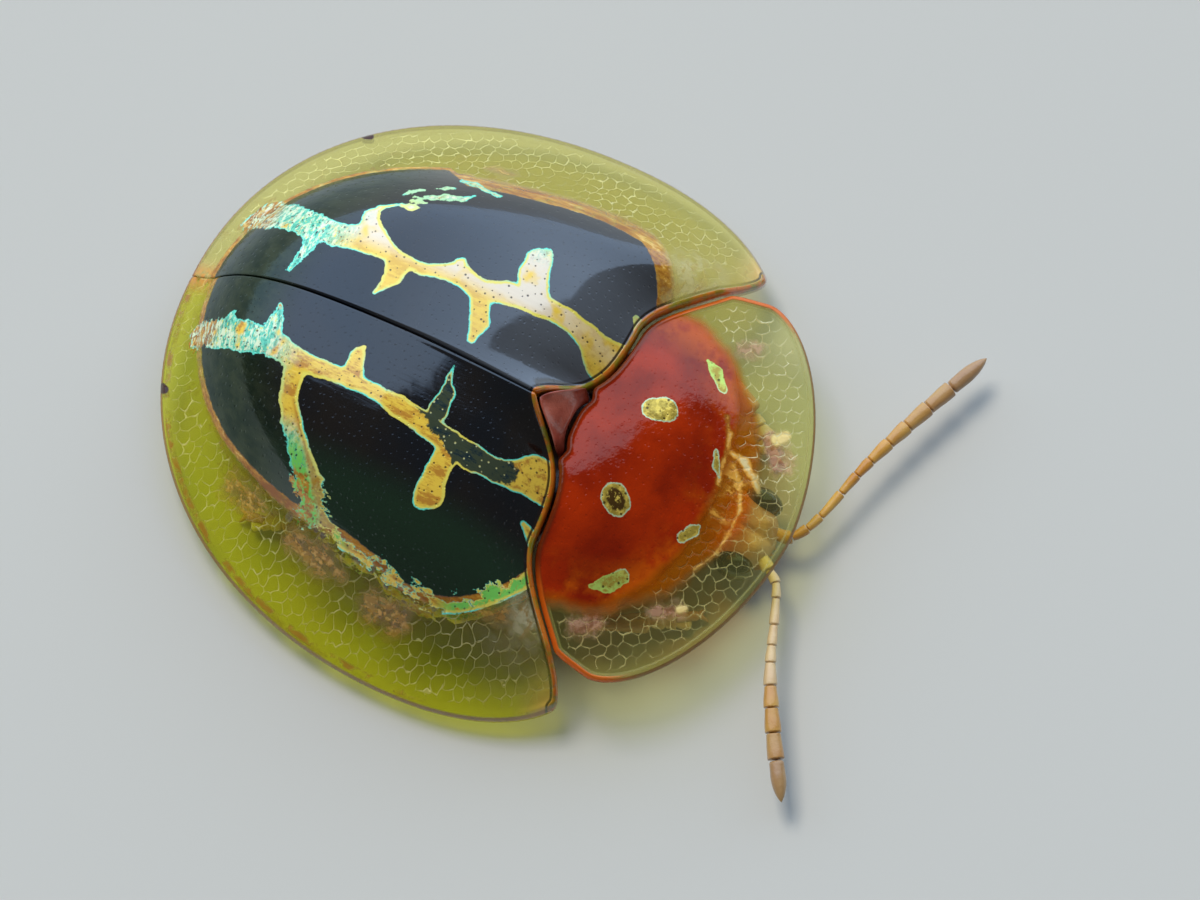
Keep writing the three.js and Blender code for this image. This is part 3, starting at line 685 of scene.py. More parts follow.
def shellMaterial():
    made, tree, shader = material("bandedShell")
    at = place(tree)
    black = attribute(tree, "black")
    gold = attribute(tree, "gold")
    rimGap = attribute(tree, "rimGap")
    baseGap = attribute(tree, "baseGap")
    teal = attribute(tree, "teal")
    grain = use("grain", Place=at, Size=0.9)
    cells = use("honeycomb", Place=at, Cell=0.15, Warp=0.3)
    pits = use("punctures", Place=at, Spacing=0.1, Radius=0.0095)
    slope = attribute(tree, "slope")
    # Clear margin, its haze painted paler on the left side, under the sky, as painted light
    awayFromSky = attribute(tree, "awayFromSky")
    haze = blend(grain["Cloud"], shell["haze"], shell["hazeWarm"])
    haze = blend(awayFromSky, shell["hazePale"], haze)
    inner = ramp(black, -0.5, -0.1)
    blotch = ramp(noise(at, 2.6, 4.0, 0.65), 0.53, 0.63) * inner
    haze = blend(blotch * 0.7, haze, shell["amber"])
    crumple = ramp(noise(at, 3.2, 5.0, 0.65), 0.38, 0.6, 0.45, 1.0)
    shoulder = attribute(tree, "shoulder") * crumple
    tip = attribute(tree, "tip")
    haze = blend(shoulder, haze, shell["clear"])
    crease = shoulder * ramp(noise(stretched(at, 0.35, 1, 1), 9.0, 4.0, 0.7), 0.53, 0.6)
    haze = blend(crease * 0.7, haze, shell["line"])
    haze = blend(tip * 0.9, haze, shell["orange"])
    tail = attribute(tree, "tail") * ramp(noise(at, 5.0, 3.0), 0.3, 0.5)
    haze = blend(tail, haze, shell["knot"])
    band = ramp(rimGap, 0.08, 0.17)
    inCells = band * ramp(black, -0.06, -0.12)
    inCells = inCells * attribute(tree, "upper")
    fade = inCells * (1.0 - shoulder * 0.75)
    vary = ramp(noise(at, 1.7, 2.0), 0.3, 0.6, 0.5, 1.0)
    walls = cells["Wall"] * fade * vary * 0.55
    # Painted highlights: bright crescents on one side of the cells
    arcs = cells["Arc"] * fade * vary * 0.85
    margin = blend(walls, haze, shell["wall"])
    margin = blend(arcs, margin, shell["arc"])
    stainNoise = ramp(noise(at, 3.4, 3.0, 0.6), 0.4, 0.58)
    stain = ramp(rimGap, 0.14, 0.09) * ramp(rimGap, 0.03, 0.06)
    stain = stain * stainNoise * attribute(tree, "stain")
    margin = blend(stain * 0.8, margin, shell["amber"])
    rimLine = ramp(rimGap, 0.035, 0.018)
    margin = blend(rimLine * 0.8, margin, shell["rimLine"])
    mottled = noise(stretched(at, 1, 0.6, 1), 8.0, 4.0, 0.7)
    blob = attribute(tree, "blob") + (mottled - 0.5) * 0.3
    core = ramp(blob, 0.0, 0.12)
    blob = ramp(blob, -0.13, 0.1)
    foot = blend(ramp(mottled, 0.4, 0.6), shell["footDark"], shell["foot"])
    foot = blend(core * ramp(noise(at, 16.0, 3.0), 0.5, 0.6), foot, shell["footLight"])
    margin = blend(blob * 0.9, margin, foot)
    speck = ramp(attribute(tree, "speck"), -0.01, 0.01)
    margin = blend(speck, margin, shell["hole"])
    holes = use("punctures", Place=at, Spacing=0.2, Radius=0.042)
    rows = ramp(black, -0.2, -0.14) * ramp(black, -0.02, -0.06)
    rows = rows * (1.0 - slope)
    holes = holes["Dot"] * rows * attribute(tree, "stain")
    margin = blend(holes * 0.9, margin, shell["hole"])
    # Black disc with its amber border
    dark = blend(grain["Cloud"], shell["black"], shell["blackWarm"])
    dark = blend(attribute(tree, "bottle"), dark, shell["blackGreen"])
    brushed = noise(stretched(at, 1, 0.3, 1), 5.0, 5.0, 0.7)
    brushed = blend(ramp(brushed, 0.35, 0.65), shell["slopeDeep"], shell["slope"])
    dark = blend(slope, dark, brushed)
    # Painted sheen: bluish grey laid over the left elytron's black in place of the sky's reflection
    dark = blend(attribute(tree, "paintedSheen"), dark, shell["paintedSheen"])
    ragged = noise(at, 14.0, 3.0, 0.6) - 0.5
    black = black + ragged * 0.03
    inBlack = ramp(black, -0.008, 0.008)
    border = ramp(black / attribute(tree, "trim"), -1.0, -0.5)
    border = border * ramp(noise(at, 2.2, 3.0, 0.6), 0.3, 0.5, 0.5, 1.0)
    strands = noise(stretched(at, 1, 0.22, 1), 9.0, 4.0, 0.7)
    lineColour = blend(ramp(strands, 0.4, 0.6), shell["line"], shell["amber"])
    lineColour = blend(ramp(strands, 0.42, 0.34), lineColour, shell["lineLight"])
    body = blend(border, margin, lineColour)
    body = blend(inBlack, body, dark)
    # Gold band: mint at its very edge, then yellow, then pale or rusty within; the pale cream on the left
    # band is painted sheen
    rag = 0.035 + teal * 0.06
    gold = gold + ragged * rag
    torn = noise(stretched(at, 1, 0.6, 1), 6.0, 5.0, 0.7) - 0.53
    torn = torn * attribute(tree, "broken") * 0.75
    gold = gold + torn
    gold = least(gold, black + 0.16)
    deep = ramp(gold + teal * 0.022, 0.022, 0.05)
    pale = attribute(tree, "pale")
    lee = attribute(tree, "lee")
    rusty = ramp(noise(stretched(at, 1, 0.3, 1), 10.0, 6.0, 0.75), 0.45, 0.6)
    rusty = rusty * (0.9 - pale * 0.85)
    # Less rust on the left band, beneath its painted sheen
    rusty = rusty * (0.45 + awayFromSky * 0.55)
    rusty = most(rusty, lee * ramp(strands, 0.36, 0.5))
    creamy = pale * ramp(noise(at, 2.6, 3.0), 0.34, 0.5)
    inside = blend(creamy, shell["yellow"], shell["pale"])
    inside = blend(rusty, inside, shell["rust"])
    streak = noise(stretched(at, 0.45, 1, 1), 17.0, 5.0, 0.75)
    aqua = blend(ramp(streak, 0.47, 0.56), shell["teal"], shell["foam"])
    aqua = blend(ramp(streak, 0.43, 0.37), aqua, shell["tealDeep"])
    flakes = noise(stretched(at, 0.6, 1, 1), 24.0, 3.0, 0.6)
    aqua = blend(ramp(flakes, 0.4, 0.34), aqua, shell["pit"])
    aqua = blend(ramp(flakes, 0.6, 0.68), aqua, shell["lemon"])
    tealness = teal * ramp(noise(at, 4.0, 3.0), 0.3, 0.44)
    inside = blend(tealness, inside, aqua)
    greenness = attribute(tree, "green") * ramp(streak, 0.33, 0.48)
    inside = blend(greenness, inside, shell["green"])
    inside = blend(pits["Dot"] * 0.85, inside, shell["pit"])
    minty = ramp(noise(at, 1.6, 2.0), 0.4, 0.56)
    minty = most(minty * ramp(gold, 0.02, 0.008), teal)
    edge = blend(minty, shell["lemon"], shell["mint"])
    inside = blend(deep, edge, inside)
    # Painted reflection: the right band painted dark olive and blue-green, with pale pits, where it mirrors
    # a dark part of the room
    darkReflection = attribute(tree, "darkReflection") + ragged * 0.16
    darkReflection = ramp(darkReflection, -0.01, 0.02) * ramp(gold, 0.012, 0.026)
    darkReflectionColour = blend(ramp(strands, 0.5, 0.62), shell["darkReflection"], shell["darkReflectionDeep"])
    darkReflectionColour = blend(pits["Dot"] * 0.9, darkReflectionColour, shell["darkReflectionPit"])
    inside = blend(darkReflection, inside, darkReflectionColour)
    inGold = ramp(gold, -0.005, 0.005)
    thinned = ramp(attribute(tree, "broken"), 0.1, 0.45) * teal
    inside = blend(thinned * ramp(streak, 0.56, 0.46), inside, lineColour)
    body = blend(inGold, body, inside)
    # Front border, beaded and orange, with a dark groove behind it
    baseNoise = noise(at, 5.0, 2.0)
    hem = ramp(baseGap, 0.065, 0.05)
    hemColour = blend(ramp(baseNoise, 0.4, 0.65), shell["hem"], shell["hemGreen"])
    body = blend(hem, body, hemColour)
    groove = ramp(baseGap, 0.1, 0.085) * ramp(baseGap, 0.058, 0.07)
    body = blend(groove * 0.92, body, shell["groove"])
    # How much is clouded
    solid = most(inBlack, most(inGold, hem))
    cloud = most(0.15, most(walls * 1.25, arcs))
    shares = ((border, 0.9), (blotch, 0.4), (rimLine, 0.9), (shoulder, 0.4), (tip, 1.0), (stain, 0.85),
              (holes, 0.9), (tail, 0.9), (blob, 0.62), (speck, 1.0))
    for part, share in shares:
        cloud = most(cloud, part * share)
    under = cloud * 0.4
    cloud = blendNumber(attribute(tree, "upper"), under, cloud)
    cloud = most(cloud, solid)
    # Painted light: a paler see-through tint for the left margin, under the sky
    tint = blend(awayFromSky, shell["tintPale"], shell["tint"])
    tint = blend(shoulder, tint, shell["tintClear"])
    # Relief: cells on the margin, pits and fine lengthways streaks on the disc
    ridges = noise(stretched(at, 1, 0.12, 1), 6.0, 3.0, 0.6) * inBlack
    height = ridges - pits["Dot"] * 0.6
    honey = cells["Height"] * fade
    height = height + honey * 0.8
    unshiny = inBlack - inGold
    unshiny = most(unshiny * slope, 0.0) * 0.6
    wire(shader, Base_Color=body, Normal=relief(height, 0.006), Metallic=most(inGold * 0.12, unshiny),
         Roughness=0.1 + grain["Fine"] * 0.1, Coat_Weight=1.0 - slope * 0.9, Coat_Roughness=0.04,
         Specular_Tint=colour(shell["sheen"]))
    seeThrough(shader, cloud, tint)
    return made


# Pronotum: a red convex disc in a clear rim, with gold flecks
pronotum = {"along": 174, "across": 276, "spread": 1.555, "discDepth": 0.24, "rimDepth": 0.1,
            "round": 0.045, "bead": 0.014, "redReach": 1.12, "redWidth": 1.82, "redPower": 2.2,
            "redMiddle": -0.6, "amberReach": 1.6, "amberWidth": 1.92, "amberPower": 1.7}
flecks = {
    "innerLeft": [(-0.47, 0.55, 0.13), (-0.35, 0.62, 0.15)],
    "innerRight": [(-0.42, -0.56, 0.155), (-0.37, -0.6, 0.155)],
    "sideLeft": [(-0.2, 1.45, 0.02), (-0.07, 1.38, 0.07), (0.1, 1.22, 0.045)],
    "sideRight": [(-0.26, -1.52, 0.025), (-0.1, -1.42, 0.09), (0.02, -1.26, 0.08)],
    "frontLeft": [(0.34, 0.52, 0.03), (0.42, 0.36, 0.04), (0.5, 0.26, 0.015)],
    "frontRight": [(0.42, -0.56, 0.06), (0.5, -0.42, 0.07), (0.54, -0.34, 0.02)],
}
hollow = {"innerRight": [(-0.42, -0.56, 0.095), (-0.37, -0.6, 0.095)]}
# Light caught on the amber slope
glowStrokes = {
    "crescent": [(0.5, 0.6, 0.03), (0.66, 0.58, 0.055), (0.84, 0.47, 0.05), (0.96, 0.34, 0.015)],
    "thread": [(0.58, 0.48, 0.03), (0.76, 0.28, 0.022), (0.86, 0.06, 0.014), (0.87, -0.24, 0.014),
               (0.84, -0.5, 0.016), (0.7, -0.8, 0.01)],
    "upper": [(0.28, 0.95, 0.014), (0.39, 0.79, 0.024), (0.44, 0.58, 0.02), (0.48, 0.4, 0.03),
              (0.52, 0.2, 0.012)],
}
# The front feet under the clear rim, and pinkish shades of the legs behind
shades = {"leftKnee": [(0.08, 1.78, 0.09), (0.2, 1.86, 0.1)],
          "leftFoot": [(0.82, 0.98, 0.1), (1.04, 0.8, 0.16)],
          "rightFoot": [(0.5, -1.42, 0.08), (0.72, -1.3, 0.08)],
          "rightKnee": [(-0.2, -1.98, 0.12), (-0.05, -1.86, 0.1)]}
pads = {"left": [(0.88, 1.0, 0.065), (0.95, 1.09, 0.06)],
        "right": [(0.74, -1.28, 0.045), (0.79, -1.24, 0.03)]}


def addPronotum(kind):
    mesh, u, v, w = sheetMesh("pronotum", pronotum["along"], pronotum["across"])
    t = shield["halfWidth"] * np.sin(pronotum["spread"] * (2 * v - 1))
    rear = pronotumRear(t) - reachBack(t)
    front = pronotumFront(t)
    u = 0.5 - 0.5 * np.cos(pi * u) * 0.35 - 0.5 * (1 - 2 * u) * 0.65
    s = mix(rear, front, u)
    edge = shield["halfWidth"] * np.sin(np.linspace(-1, 1, 1200) * pi / 2)
    rearGap = gapTo(s, t, pronotumRear(edge) - reachBack(edge), edge)
    frontGap = gapTo(s, t, pronotumFront(edge), edge)
    gap = np.minimum(rearGap, frontGap)
    top = pronotumTop(s, t)
    out = np.hypot((s - shield["discCentre"]) / shield["discLength"], t / shield["discWidth"])
    depth = mix(pronotum["discDepth"], pronotum["rimDepth"], smooth((out - 0.6) / 0.5))
    depth = depth * slopeOf(pronotumTop, s, t)
    drop = rounded(gap, pronotum["round"])
    bead = pronotum["bead"] * bump(gap, 0.045, 0.025)
    z = np.where(w > 0.5, top - drop + bead, top - depth + drop)
    setCorners(mesh, s, t, z)
    ahead = np.maximum(s - pronotum["redMiddle"], 0)
    red = (ahead / pronotum["redReach"]) ** pronotum["redPower"]
    red = red + (np.abs(t) / pronotum["redWidth"]) ** pronotum["redPower"]
    amber = (ahead / pronotum["amberReach"]) ** pronotum["amberPower"]
    amber = amber + (np.abs(t) / pronotum["amberWidth"]) ** pronotum["amberPower"]
    setAttribute(mesh, "red", (1 - red ** (1 / pronotum["redPower"])) * 1.3)
    setAttribute(mesh, "amber", (1 - amber ** (1 / pronotum["amberPower"])) * 1.5)
    setAttribute(mesh, "fleck", strokeField(s, t, flecks, 0.02))
    setAttribute(mesh, "hollow", strokeField(s, t, hollow, 0.02))
    setAttribute(mesh, "shade", strokeField(s, t, shades, 0.02))
    setAttribute(mesh, "pads", strokeField(s, t, pads, 0.02))
    # Painted highlights on the amber slope: the gleam strokes and the glow spot
    setAttribute(mesh, "gleam", strokeField(s, t, glowStrokes, 0.03))
    setAttribute(mesh, "gap", gap)
    setAttribute(mesh, "frontGap", frontGap)
    setAttribute(mesh, "rearGap", rearGap)
    setAttribute(mesh, "glow", np.exp(-((s - 0.68) / 0.22) ** 2 - ((t - 0.15) / 0.6) ** 2))
    setAttribute(mesh, "outer", smooth((np.abs(t) - 1.1) / 0.25))
    setAttribute(mesh, "farSide", smooth((t - 0.1) / 0.5))
    setAttribute(mesh, "corner", smooth((np.abs(t) - 1.5) / 0.4) * smooth((0.7 - s) / 0.4))
    setAttribute(mesh, "upper", w)
    return finishPiece("pronotumShield", mesh, kind, ["pronotum"])


# Painted light among these: the glow colours and the cells' crescent highlight colours
lacquer = {"red": (0.46, 0.028, 0.0003), "redDeep": (0.24, 0.010, 0.0002), "flame": (0.62, 0.11, 0.001),
           "amber": (0.62, 0.17, 0.004), "glow": (1.0, 0.52, 0.08), "glowCore": (1.0, 0.86, 0.42),
           "haze": (0.50, 0.50, 0.16), "hazeWarm": (0.52, 0.42, 0.14), "wall": (0.90, 0.70, 0.24),
           "shade": (0.78, 0.42, 0.26), "shadeDeep": (0.42, 0.17, 0.09), "pad": (1.0, 0.74, 0.28),
           "arc": (1.0, 0.84, 0.36), "arcFar": (1.0, 0.97, 0.60), "rimLine": (0.24, 0.07, 0.005),
           "hem": (0.30, 0.27, 0.03), "corner": (0.78, 0.13, 0.008), "yellow": (1.0, 0.72, 0.12),
           "foam": (0.70, 0.92, 0.55), "mint": (0.60, 0.82, 0.16), "ochre": (0.5, 0.36, 0.05),
           "hollow": (0.10, 0.05, 0.01), "pit": (0.06, 0.03, 0.01), "tint": (0.93, 0.93, 0.66),
           "amberTint": (0.96, 0.58, 0.08), "rearLine": (0.10, 0.02, 0.004), "sheen": (1.0, 0.84, 0.66)}


def pronotumMaterial():
    made, tree, shader = material("clearRimmedRed")
    at = place(tree)
    red = attribute(tree, "red")
    amber = attribute(tree, "amber")
    gap = attribute(tree, "gap")
    grain = use("grain", Place=at, Size=0.8)
    cells = use("honeycomb", Place=at, Cell=0.158, Warp=0.26)
    pits = use("punctures", Place=at, Spacing=0.11, Radius=0.011)
    # Clear rim
    haze = blend(grain["Cloud"], lacquer["haze"], lacquer["hazeWarm"])
    fade = ramp(gap, 0.1, 0.16) * ramp(red, -0.02, -0.14)
    fade = fade * attribute(tree, "upper")
    crumbs = noise(at, 9.0, 4.0, 0.65)
    shade = attribute(tree, "shade") + (crumbs - 0.5) * 0.25
    shade = ramp(shade, -0.1, 0.07)
    pad = ramp(attribute(tree, "pads"), -0.03, 0.02)
    haze = blend(shade, haze, blend(ramp(crumbs, 0.42, 0.58), lacquer["shadeDeep"], lacquer["shade"]))
    haze = blend(pad, haze, lacquer["pad"])
    vary = ramp(noise(at, 1.9, 2.0), 0.3, 0.6, 0.45, 1.0)
    # Painted highlights: bright crescents on the cells, stronger and paler on the far side, under the sky
    far = attribute(tree, "farSide")
    walls = cells["Wall"] * fade * 0.42
    strength = blendNumber(far, 0.6, 0.95)
    arcs = cells["Arc"] * fade * vary * strength
    margin = blend(walls, haze, lacquer["wall"])
    margin = blend(arcs, margin, blend(far, lacquer["arc"], lacquer["arcFar"]))
    hem = ramp(gap, 0.1, 0.085) * ramp(gap, 0.06, 0.075)
    margin = blend(hem * 0.5, margin, lacquer["hem"])
    rimLine = ramp(attribute(tree, "frontGap"), 0.035, 0.02)
    margin = blend(rimLine * 0.85, margin, lacquer["rimLine"])
    # Amber slope, clear enough to show the head, then the red disc
    wander = noise(at, 2.4, 3.0) - 0.5
    inAmber = ramp(amber + wander * 0.2, -0.05, 0.1)
    veins = noise(stretched(at, 1, 0.45, 1), 4.5, 5.0, 0.65)
    # Painted highlights: bright veins round the glow spot, and the gleam strokes with pale cores
    bright = ramp(veins, 0.46, 0.6) * attribute(tree, "glow")
    wavy = (noise(at, 7.0, 4.0, 0.65) - 0.5) * 0.12
    gleam = attribute(tree, "gleam") + wavy
    core = ramp(gleam, 0.015, 0.05)
    gleam = ramp(gleam, -0.03, 0.025)
    bright = most(bright, gleam * 0.9)
    slope = blend(bright, lacquer["amber"], blend(core, lacquer["glow"], lacquer["glowCore"]))
    body = blend(inAmber * (1.0 - arcs), margin, slope)
    inRed = ramp(red + wander * 0.16, -0.12, 0.08)
    blaze = ramp(red, 0.45, 0.0) * ramp(noise(at, 2.0, 4.0, 0.6), 0.4, 0.62)
    disc = blend(grain["Cloud"], lacquer["red"], lacquer["redDeep"])
    disc = blend(blaze * 0.8, disc, lacquer["flame"])
    inRed = inRed * (1.0 - gleam * 0.8)
    body = blend(inRed, body, disc)
    # Flecks of gold with mint edges
    rag = (noise(at, 16.0, 3.0, 0.6) - 0.5) * 0.05
    fleck = attribute(tree, "fleck") + rag
    patchy = ramp(noise(at, 9.0, 4.0, 0.65), 0.4, 0.6)
    side = blend(patchy, lacquer["mint"], lacquer["ochre"])
    shine = blend(attribute(tree, "outer"), blend(patchy, lacquer["yellow"], lacquer["ochre"]), side)
    edge = blend(attribute(tree, "outer"), lacquer["foam"], lacquer["mint"])
    shine = blend(ramp(noise(at, 15.0, 3.0, 0.7), 0.42, 0.36), shine, lacquer["ochre"])
    shine = blend(ramp(fleck, 0.02, 0.006), shine, edge)
    shine = blend(pits["Dot"] * 0.85, shine, lacquer["pit"])
    sunk = attribute(tree, "hollow") + rag
    pool = blend(ramp(noise(at, 13.0, 4.0, 0.7), 0.5, 0.6), lacquer["hollow"], lacquer["yellow"])
    shine = blend(ramp(sunk, -0.012, 0.012), shine, pool)
    inFleck = ramp(fleck, -0.006, 0.006)
    body = blend(inFleck, body, shine)
    rearLine = ramp(attribute(tree, "rearGap"), 0.08, 0.04)
    body = blend(rearLine * 0.75, body, lacquer["rearLine"])
    corner = attribute(tree, "corner") * ramp(gap, 0.07, 0.045)
    body = blend(corner * 0.9, body, lacquer["corner"])
    # How much is clouded
    cloud = most(0.07, most(walls * 1.2, arcs))
    shares = ((rimLine, 0.9), (hem, 0.4), (inAmber, 0.36), (bright, 0.9), (rearLine, 0.8), (corner, 0.9),
              (shade, 0.42), (pad, 0.75))
    for part, share in shares:
        cloud = most(cloud, part * share)
    under = cloud * 0.35
    cloud = blendNumber(attribute(tree, "upper"), under, cloud)
    cloud = most(cloud, most(inRed, inFleck))
    honey = cells["Height"] * fade
    wave = noise(at, 3.0, 4.0, 0.55) * 2.6
    height = honey * 0.6 + wave
    height = height - pits["Dot"] * 0.3
    wire(shader, Base_Color=body, Normal=relief(height, 0.008), Metallic=inFleck * 0.4,
         Roughness=0.06 + grain["Fine"] * 0.1, Coat_Weight=0.25, Coat_Roughness=0.03,
         Specular_IOR_Level=0.5, Specular_Tint=colour(lacquer["sheen"]))
    seeThrough(shader, cloud, blend(inAmber, lacquer["tint"], lacquer["amberTint"]))
    return made


# Scutellum, a small glossy triangle between the elytra and the pronotum
scutellum = {"halfWidth": 0.4, "rearGap": 0.035, "frontGap": 0.03, "height": 2.2, "forwardFall": 0.32,
             "roundness": 1.9, "depth": 0.25, "edge": 0.04, "along": 60, "across": 90}


def addScutellum(kind):
    mesh, u, v, w = sheetMesh("scutellum", scutellum["along"], scutellum["across"])
    t = scutellum["halfWidth"] * (2 * v - 1)
    rear = frontEdge(t) + scutellum["rearGap"]
    front = np.maximum(pronotumRear(t) - reachBack(t) - scutellum["frontGap"], rear + 0.02)
    s = mix(rear, front, u)
    top = scutellum["height"] - scutellum["forwardFall"] * u - scutellum["roundness"] * t ** 2
    gap = np.minimum(np.minimum(u, 1 - u) * (front - rear), (scutellum["halfWidth"] - np.abs(t)) * 0.5)
    top = top - rounded(gap, scutellum["edge"])
    below = top - scutellum["depth"] * np.minimum(gap / 0.1, 1) - 0.01
    setCorners(mesh, s, t, np.where(w > 0.5, top, below))
    return finishPiece("scutellumPlate", mesh, kind, ["scutellum"])


# Tubes and rounded parts, drawn along a path
def addTube(bm, path, radii, along=20, around=16, up=(0, 0, 1), squash=1.0, pad=0.0):
    padLayer = bm.verts.layers.float.get("pad") or bm.verts.layers.float.new("pad")
    made = bmesh.ops.create_grid(bm, x_segments=along, y_segments=around, size=0.5)["verts"]
    lift = Vector(up).normalized()
    for vert in made:
        u = vert.co.x + 0.5
        turn = 2 * pi * (vert.co.y + 0.5)
        at = path(u)
        ahead = (path(min(u + 0.01, 1)) - path(max(u - 0.01, 0))).normalized()
        across = ahead.cross(lift).normalized()
        rise = across.cross(ahead)
        reach = radii(u)
        vert.co = at + across * (cos(turn) * reach) + rise * (sin(turn) * reach * squash)
        vert[padLayer] = pad
    bmesh.ops.remove_doubles(bm, verts=made, dist=1e-8)
    return made


def straight(a, b, sag=0.0):
    a, b = Vector(a), Vector(b)
    return lambda u: a.lerp(b, u) + Vector((0, 0, 4 * sag * u * (1 - u)))


def ovalEnds(u, end=0.5):  # 0 at both ends and 1 between, with round shoulders of the given share
    k = min(u, 1 - u) / end
    return max(1 - (1 - min(k, 1)) ** 2, 0) ** 0.5


def meshOf(name, bm):
    for vert in bm.verts:
        vert.co *= mm
    mesh = bpy.data.meshes.new(name)
    bm.to_mesh(mesh)
    bm.free()
    return mesh


def at3(s, t, z):
    return Vector((t, yShift - s, z))


# Body under the shell: sternites, thorax and prosternum, drawn as one skin of rounded plates
belly = {"tail": -5.24, "rear": -3.0, "middle": -2.9, "length": 2.42, "halfWidth": 2.08, "segments": 5,
         "waist": -1.08, "neck": 0.44, "thoraxWidth": 2.15, "chestWidth": 1.3, "floor": 0.76,
         "groove": 0.035, "around": 96, "along": 220}


def bodyWidth(s):
    far = (s - belly["middle"]) / belly["length"]
    abdomen = belly["halfWidth"] * np.sqrt(np.maximum(1 - far ** 2, 0))
    u = np.clip((s - belly["rear"]) / (belly["waist"] - belly["rear"]), 0, 1)
    thorax = belly["thoraxWidth"] * (1 - 0.22 * u ** 3)
    k = np.clip((s - belly["waist"]) / (belly["neck"] - belly["waist"]), 0, 1)
    chest = belly["chestWidth"] * (1 - 0.3 * k ** 2)
    width = np.where(s < belly["rear"], abdomen, thorax)
    shoulder = 1.72 + 0.43 * smooth((belly["waist"] - s) / 0.5)
    return np.where(s < belly["waist"], np.minimum(width, shoulder), chest)


def addBody(kind):
    bm = bmesh.new()
    bmesh.ops.create_grid(bm, x_segments=belly["along"], y_segments=belly["around"], size=0.5)
    mesh = bpy.data.meshes.new("underBody")
    bm.to_mesh(mesh)
    at = cornersOf(mesh)
    u, turn = at[:, 0] + 0.5, 2 * pi * (at[:, 1] + 0.5)
    s = mix(belly["tail"], belly["neck"], u)
    ends = np.sqrt(1 - (1 - np.minimum(np.minimum(u, 1 - u) / 0.03, 1)) ** 2)
    width = bodyWidth(s)
    across, rise = np.cos(turn), np.sin(turn)
    across = np.sign(across) * np.abs(across) ** 0.75
    t = width * across * mix(0.25, 1, ends)
    roof = np.where(s < -1.05, elytraTop(s, t) - 0.36, pronotumTop(s, t) - 0.34)
    roof = mix(roof, np.minimum(roof, 1.25), bump(s, -1.1, 0.6))
    mid = np.where(s < -1.05, 1.0, 0.85)
    keel = smooth((s + 2.6) / 0.9) * (1 - smooth((s + 1.2) / 0.3)) * (1 - across ** 2)
    floor = belly["floor"] - 0.14 * keel
    share = (s - belly["tail"]) / (belly["rear"] - belly["tail"]) * belly["segments"]
    seams = (s < belly["rear"] + 0.02) * np.exp(-((share - np.round(share)) / 0.09) ** 2)
    waist = np.exp(-((s - belly["waist"]) / 0.05) ** 2) + np.exp(-((s - belly["rear"]) / 0.035) ** 2)
    midline = np.exp(-(t / 0.03) ** 2) * (s > -2.9) * (s < -1.3) * 0.6
    sink = belly["groove"] * (seams + 1.6 * waist + midline)
    up = np.maximum(rise, 0)
    down = np.maximum(-rise, 0) ** 0.7
    above = (np.maximum(roof, mid + 0.05) - mid) * up ** 0.8 * ends
    z = mid + above - (mid - floor - sink) * down * mix(0.4, 1, ends)
    setCorners(mesh, s, t, z)
    bm.free()
    bm = bmesh.new()
    bm.from_mesh(mesh)
    bmesh.ops.remove_doubles(bm, verts=bm.verts, dist=1e-8)
    bm.to_mesh(mesh)
    bm.free()
    return finishPiece("underBody", mesh, kind, ["abdomen", "pterothorax", "prothorax"])


# Head, mouthparts and eyes
head = {"s": 0.88, "z": 0.46, "length": 0.46, "halfWidth": 0.47, "height": 0.3}
eye = {"s": 1.0, "t": 0.4, "z": 0.5, "length": 0.24, "halfWidth": 0.17, "height": 0.21, "facet": 0.03,
       "dark": (0.012, 0.01, 0.009), "wall": (0.05, 0.045, 0.04)}


def ball(bm, s, t, z, length, halfWidth, height, along=40, around=40):
    made = bmesh.ops.create_uvsphere(bm, u_segments=around, v_segments=along, radius=1)["verts"]
    for vert in made:
        x, y, up = vert.co
        vert.co = at3(s - y * length, t + x * halfWidth, z + up * height)
    return made


def addHead(kind):
    bm = bmesh.new()
    made = ball(bm, head["s"], 0, head["z"], head["length"], head["halfWidth"], head["height"], 60, 72)
    for vert in made:
        s, t = yShift - vert.co.y - head["s"], vert.co.x
        brow = 0.05 * bump(abs(t), 0.17, 0.09) * bump(s, 0.3, 0.12)
        cleft = 0.04 * bump(t, 0, 0.03) * smooth((s + 0.1) / 0.3)
        vert.co.z += (brow - cleft) * (vert.co.z > head["z"])
    ball(bm, 1.1, 0, 0.3, 0.2, 0.22, 0.14, 24, 32)
    for side in (1, -1):
        addTube(bm, straight(at3(1.12, side * 0.17, 0.5), at3(1.24, side * 0.13, 0.5)),
                lambda u: 0.1 * ovalEnds(u, 0.3), 14, 24)
        addTube(bm, straight(at3(1.05, side * 0.16, 0.26), at3(1.34, side * 0.03, 0.2), 0.04),
                lambda u: 0.07 * (1 - 0.75 * u) * ovalEnds(u, 0.2), 16, 14, squash=0.7)
        joints = [(0.98, 0.2, 0.24), (1.08, 0.27, 0.2), (1.19, 0.26, 0.17), (1.28, 0.2, 0.16)]
        for a, b in zip(joints[:-1], joints[1:]):
            addTube(bm, straight(at3(a[0], side * a[1], a[2]), at3(b[0], side * b[1], b[2])),
                    lambda u: 0.032 * ovalEnds(u, 0.3), 10, 12)
    return finishPiece("headCapsule", meshOf("headCapsule", bm), kind, ["head"])


def addEye(name, side, kind):
    bm = bmesh.new()
    ball(bm, eye["s"], side * eye["t"], eye["z"], eye["length"], eye["halfWidth"], eye["height"], 48, 56)
    return finishPiece("eye" + name, meshOf("eye" + name, bm), kind, ["eye_" + name.lower()])


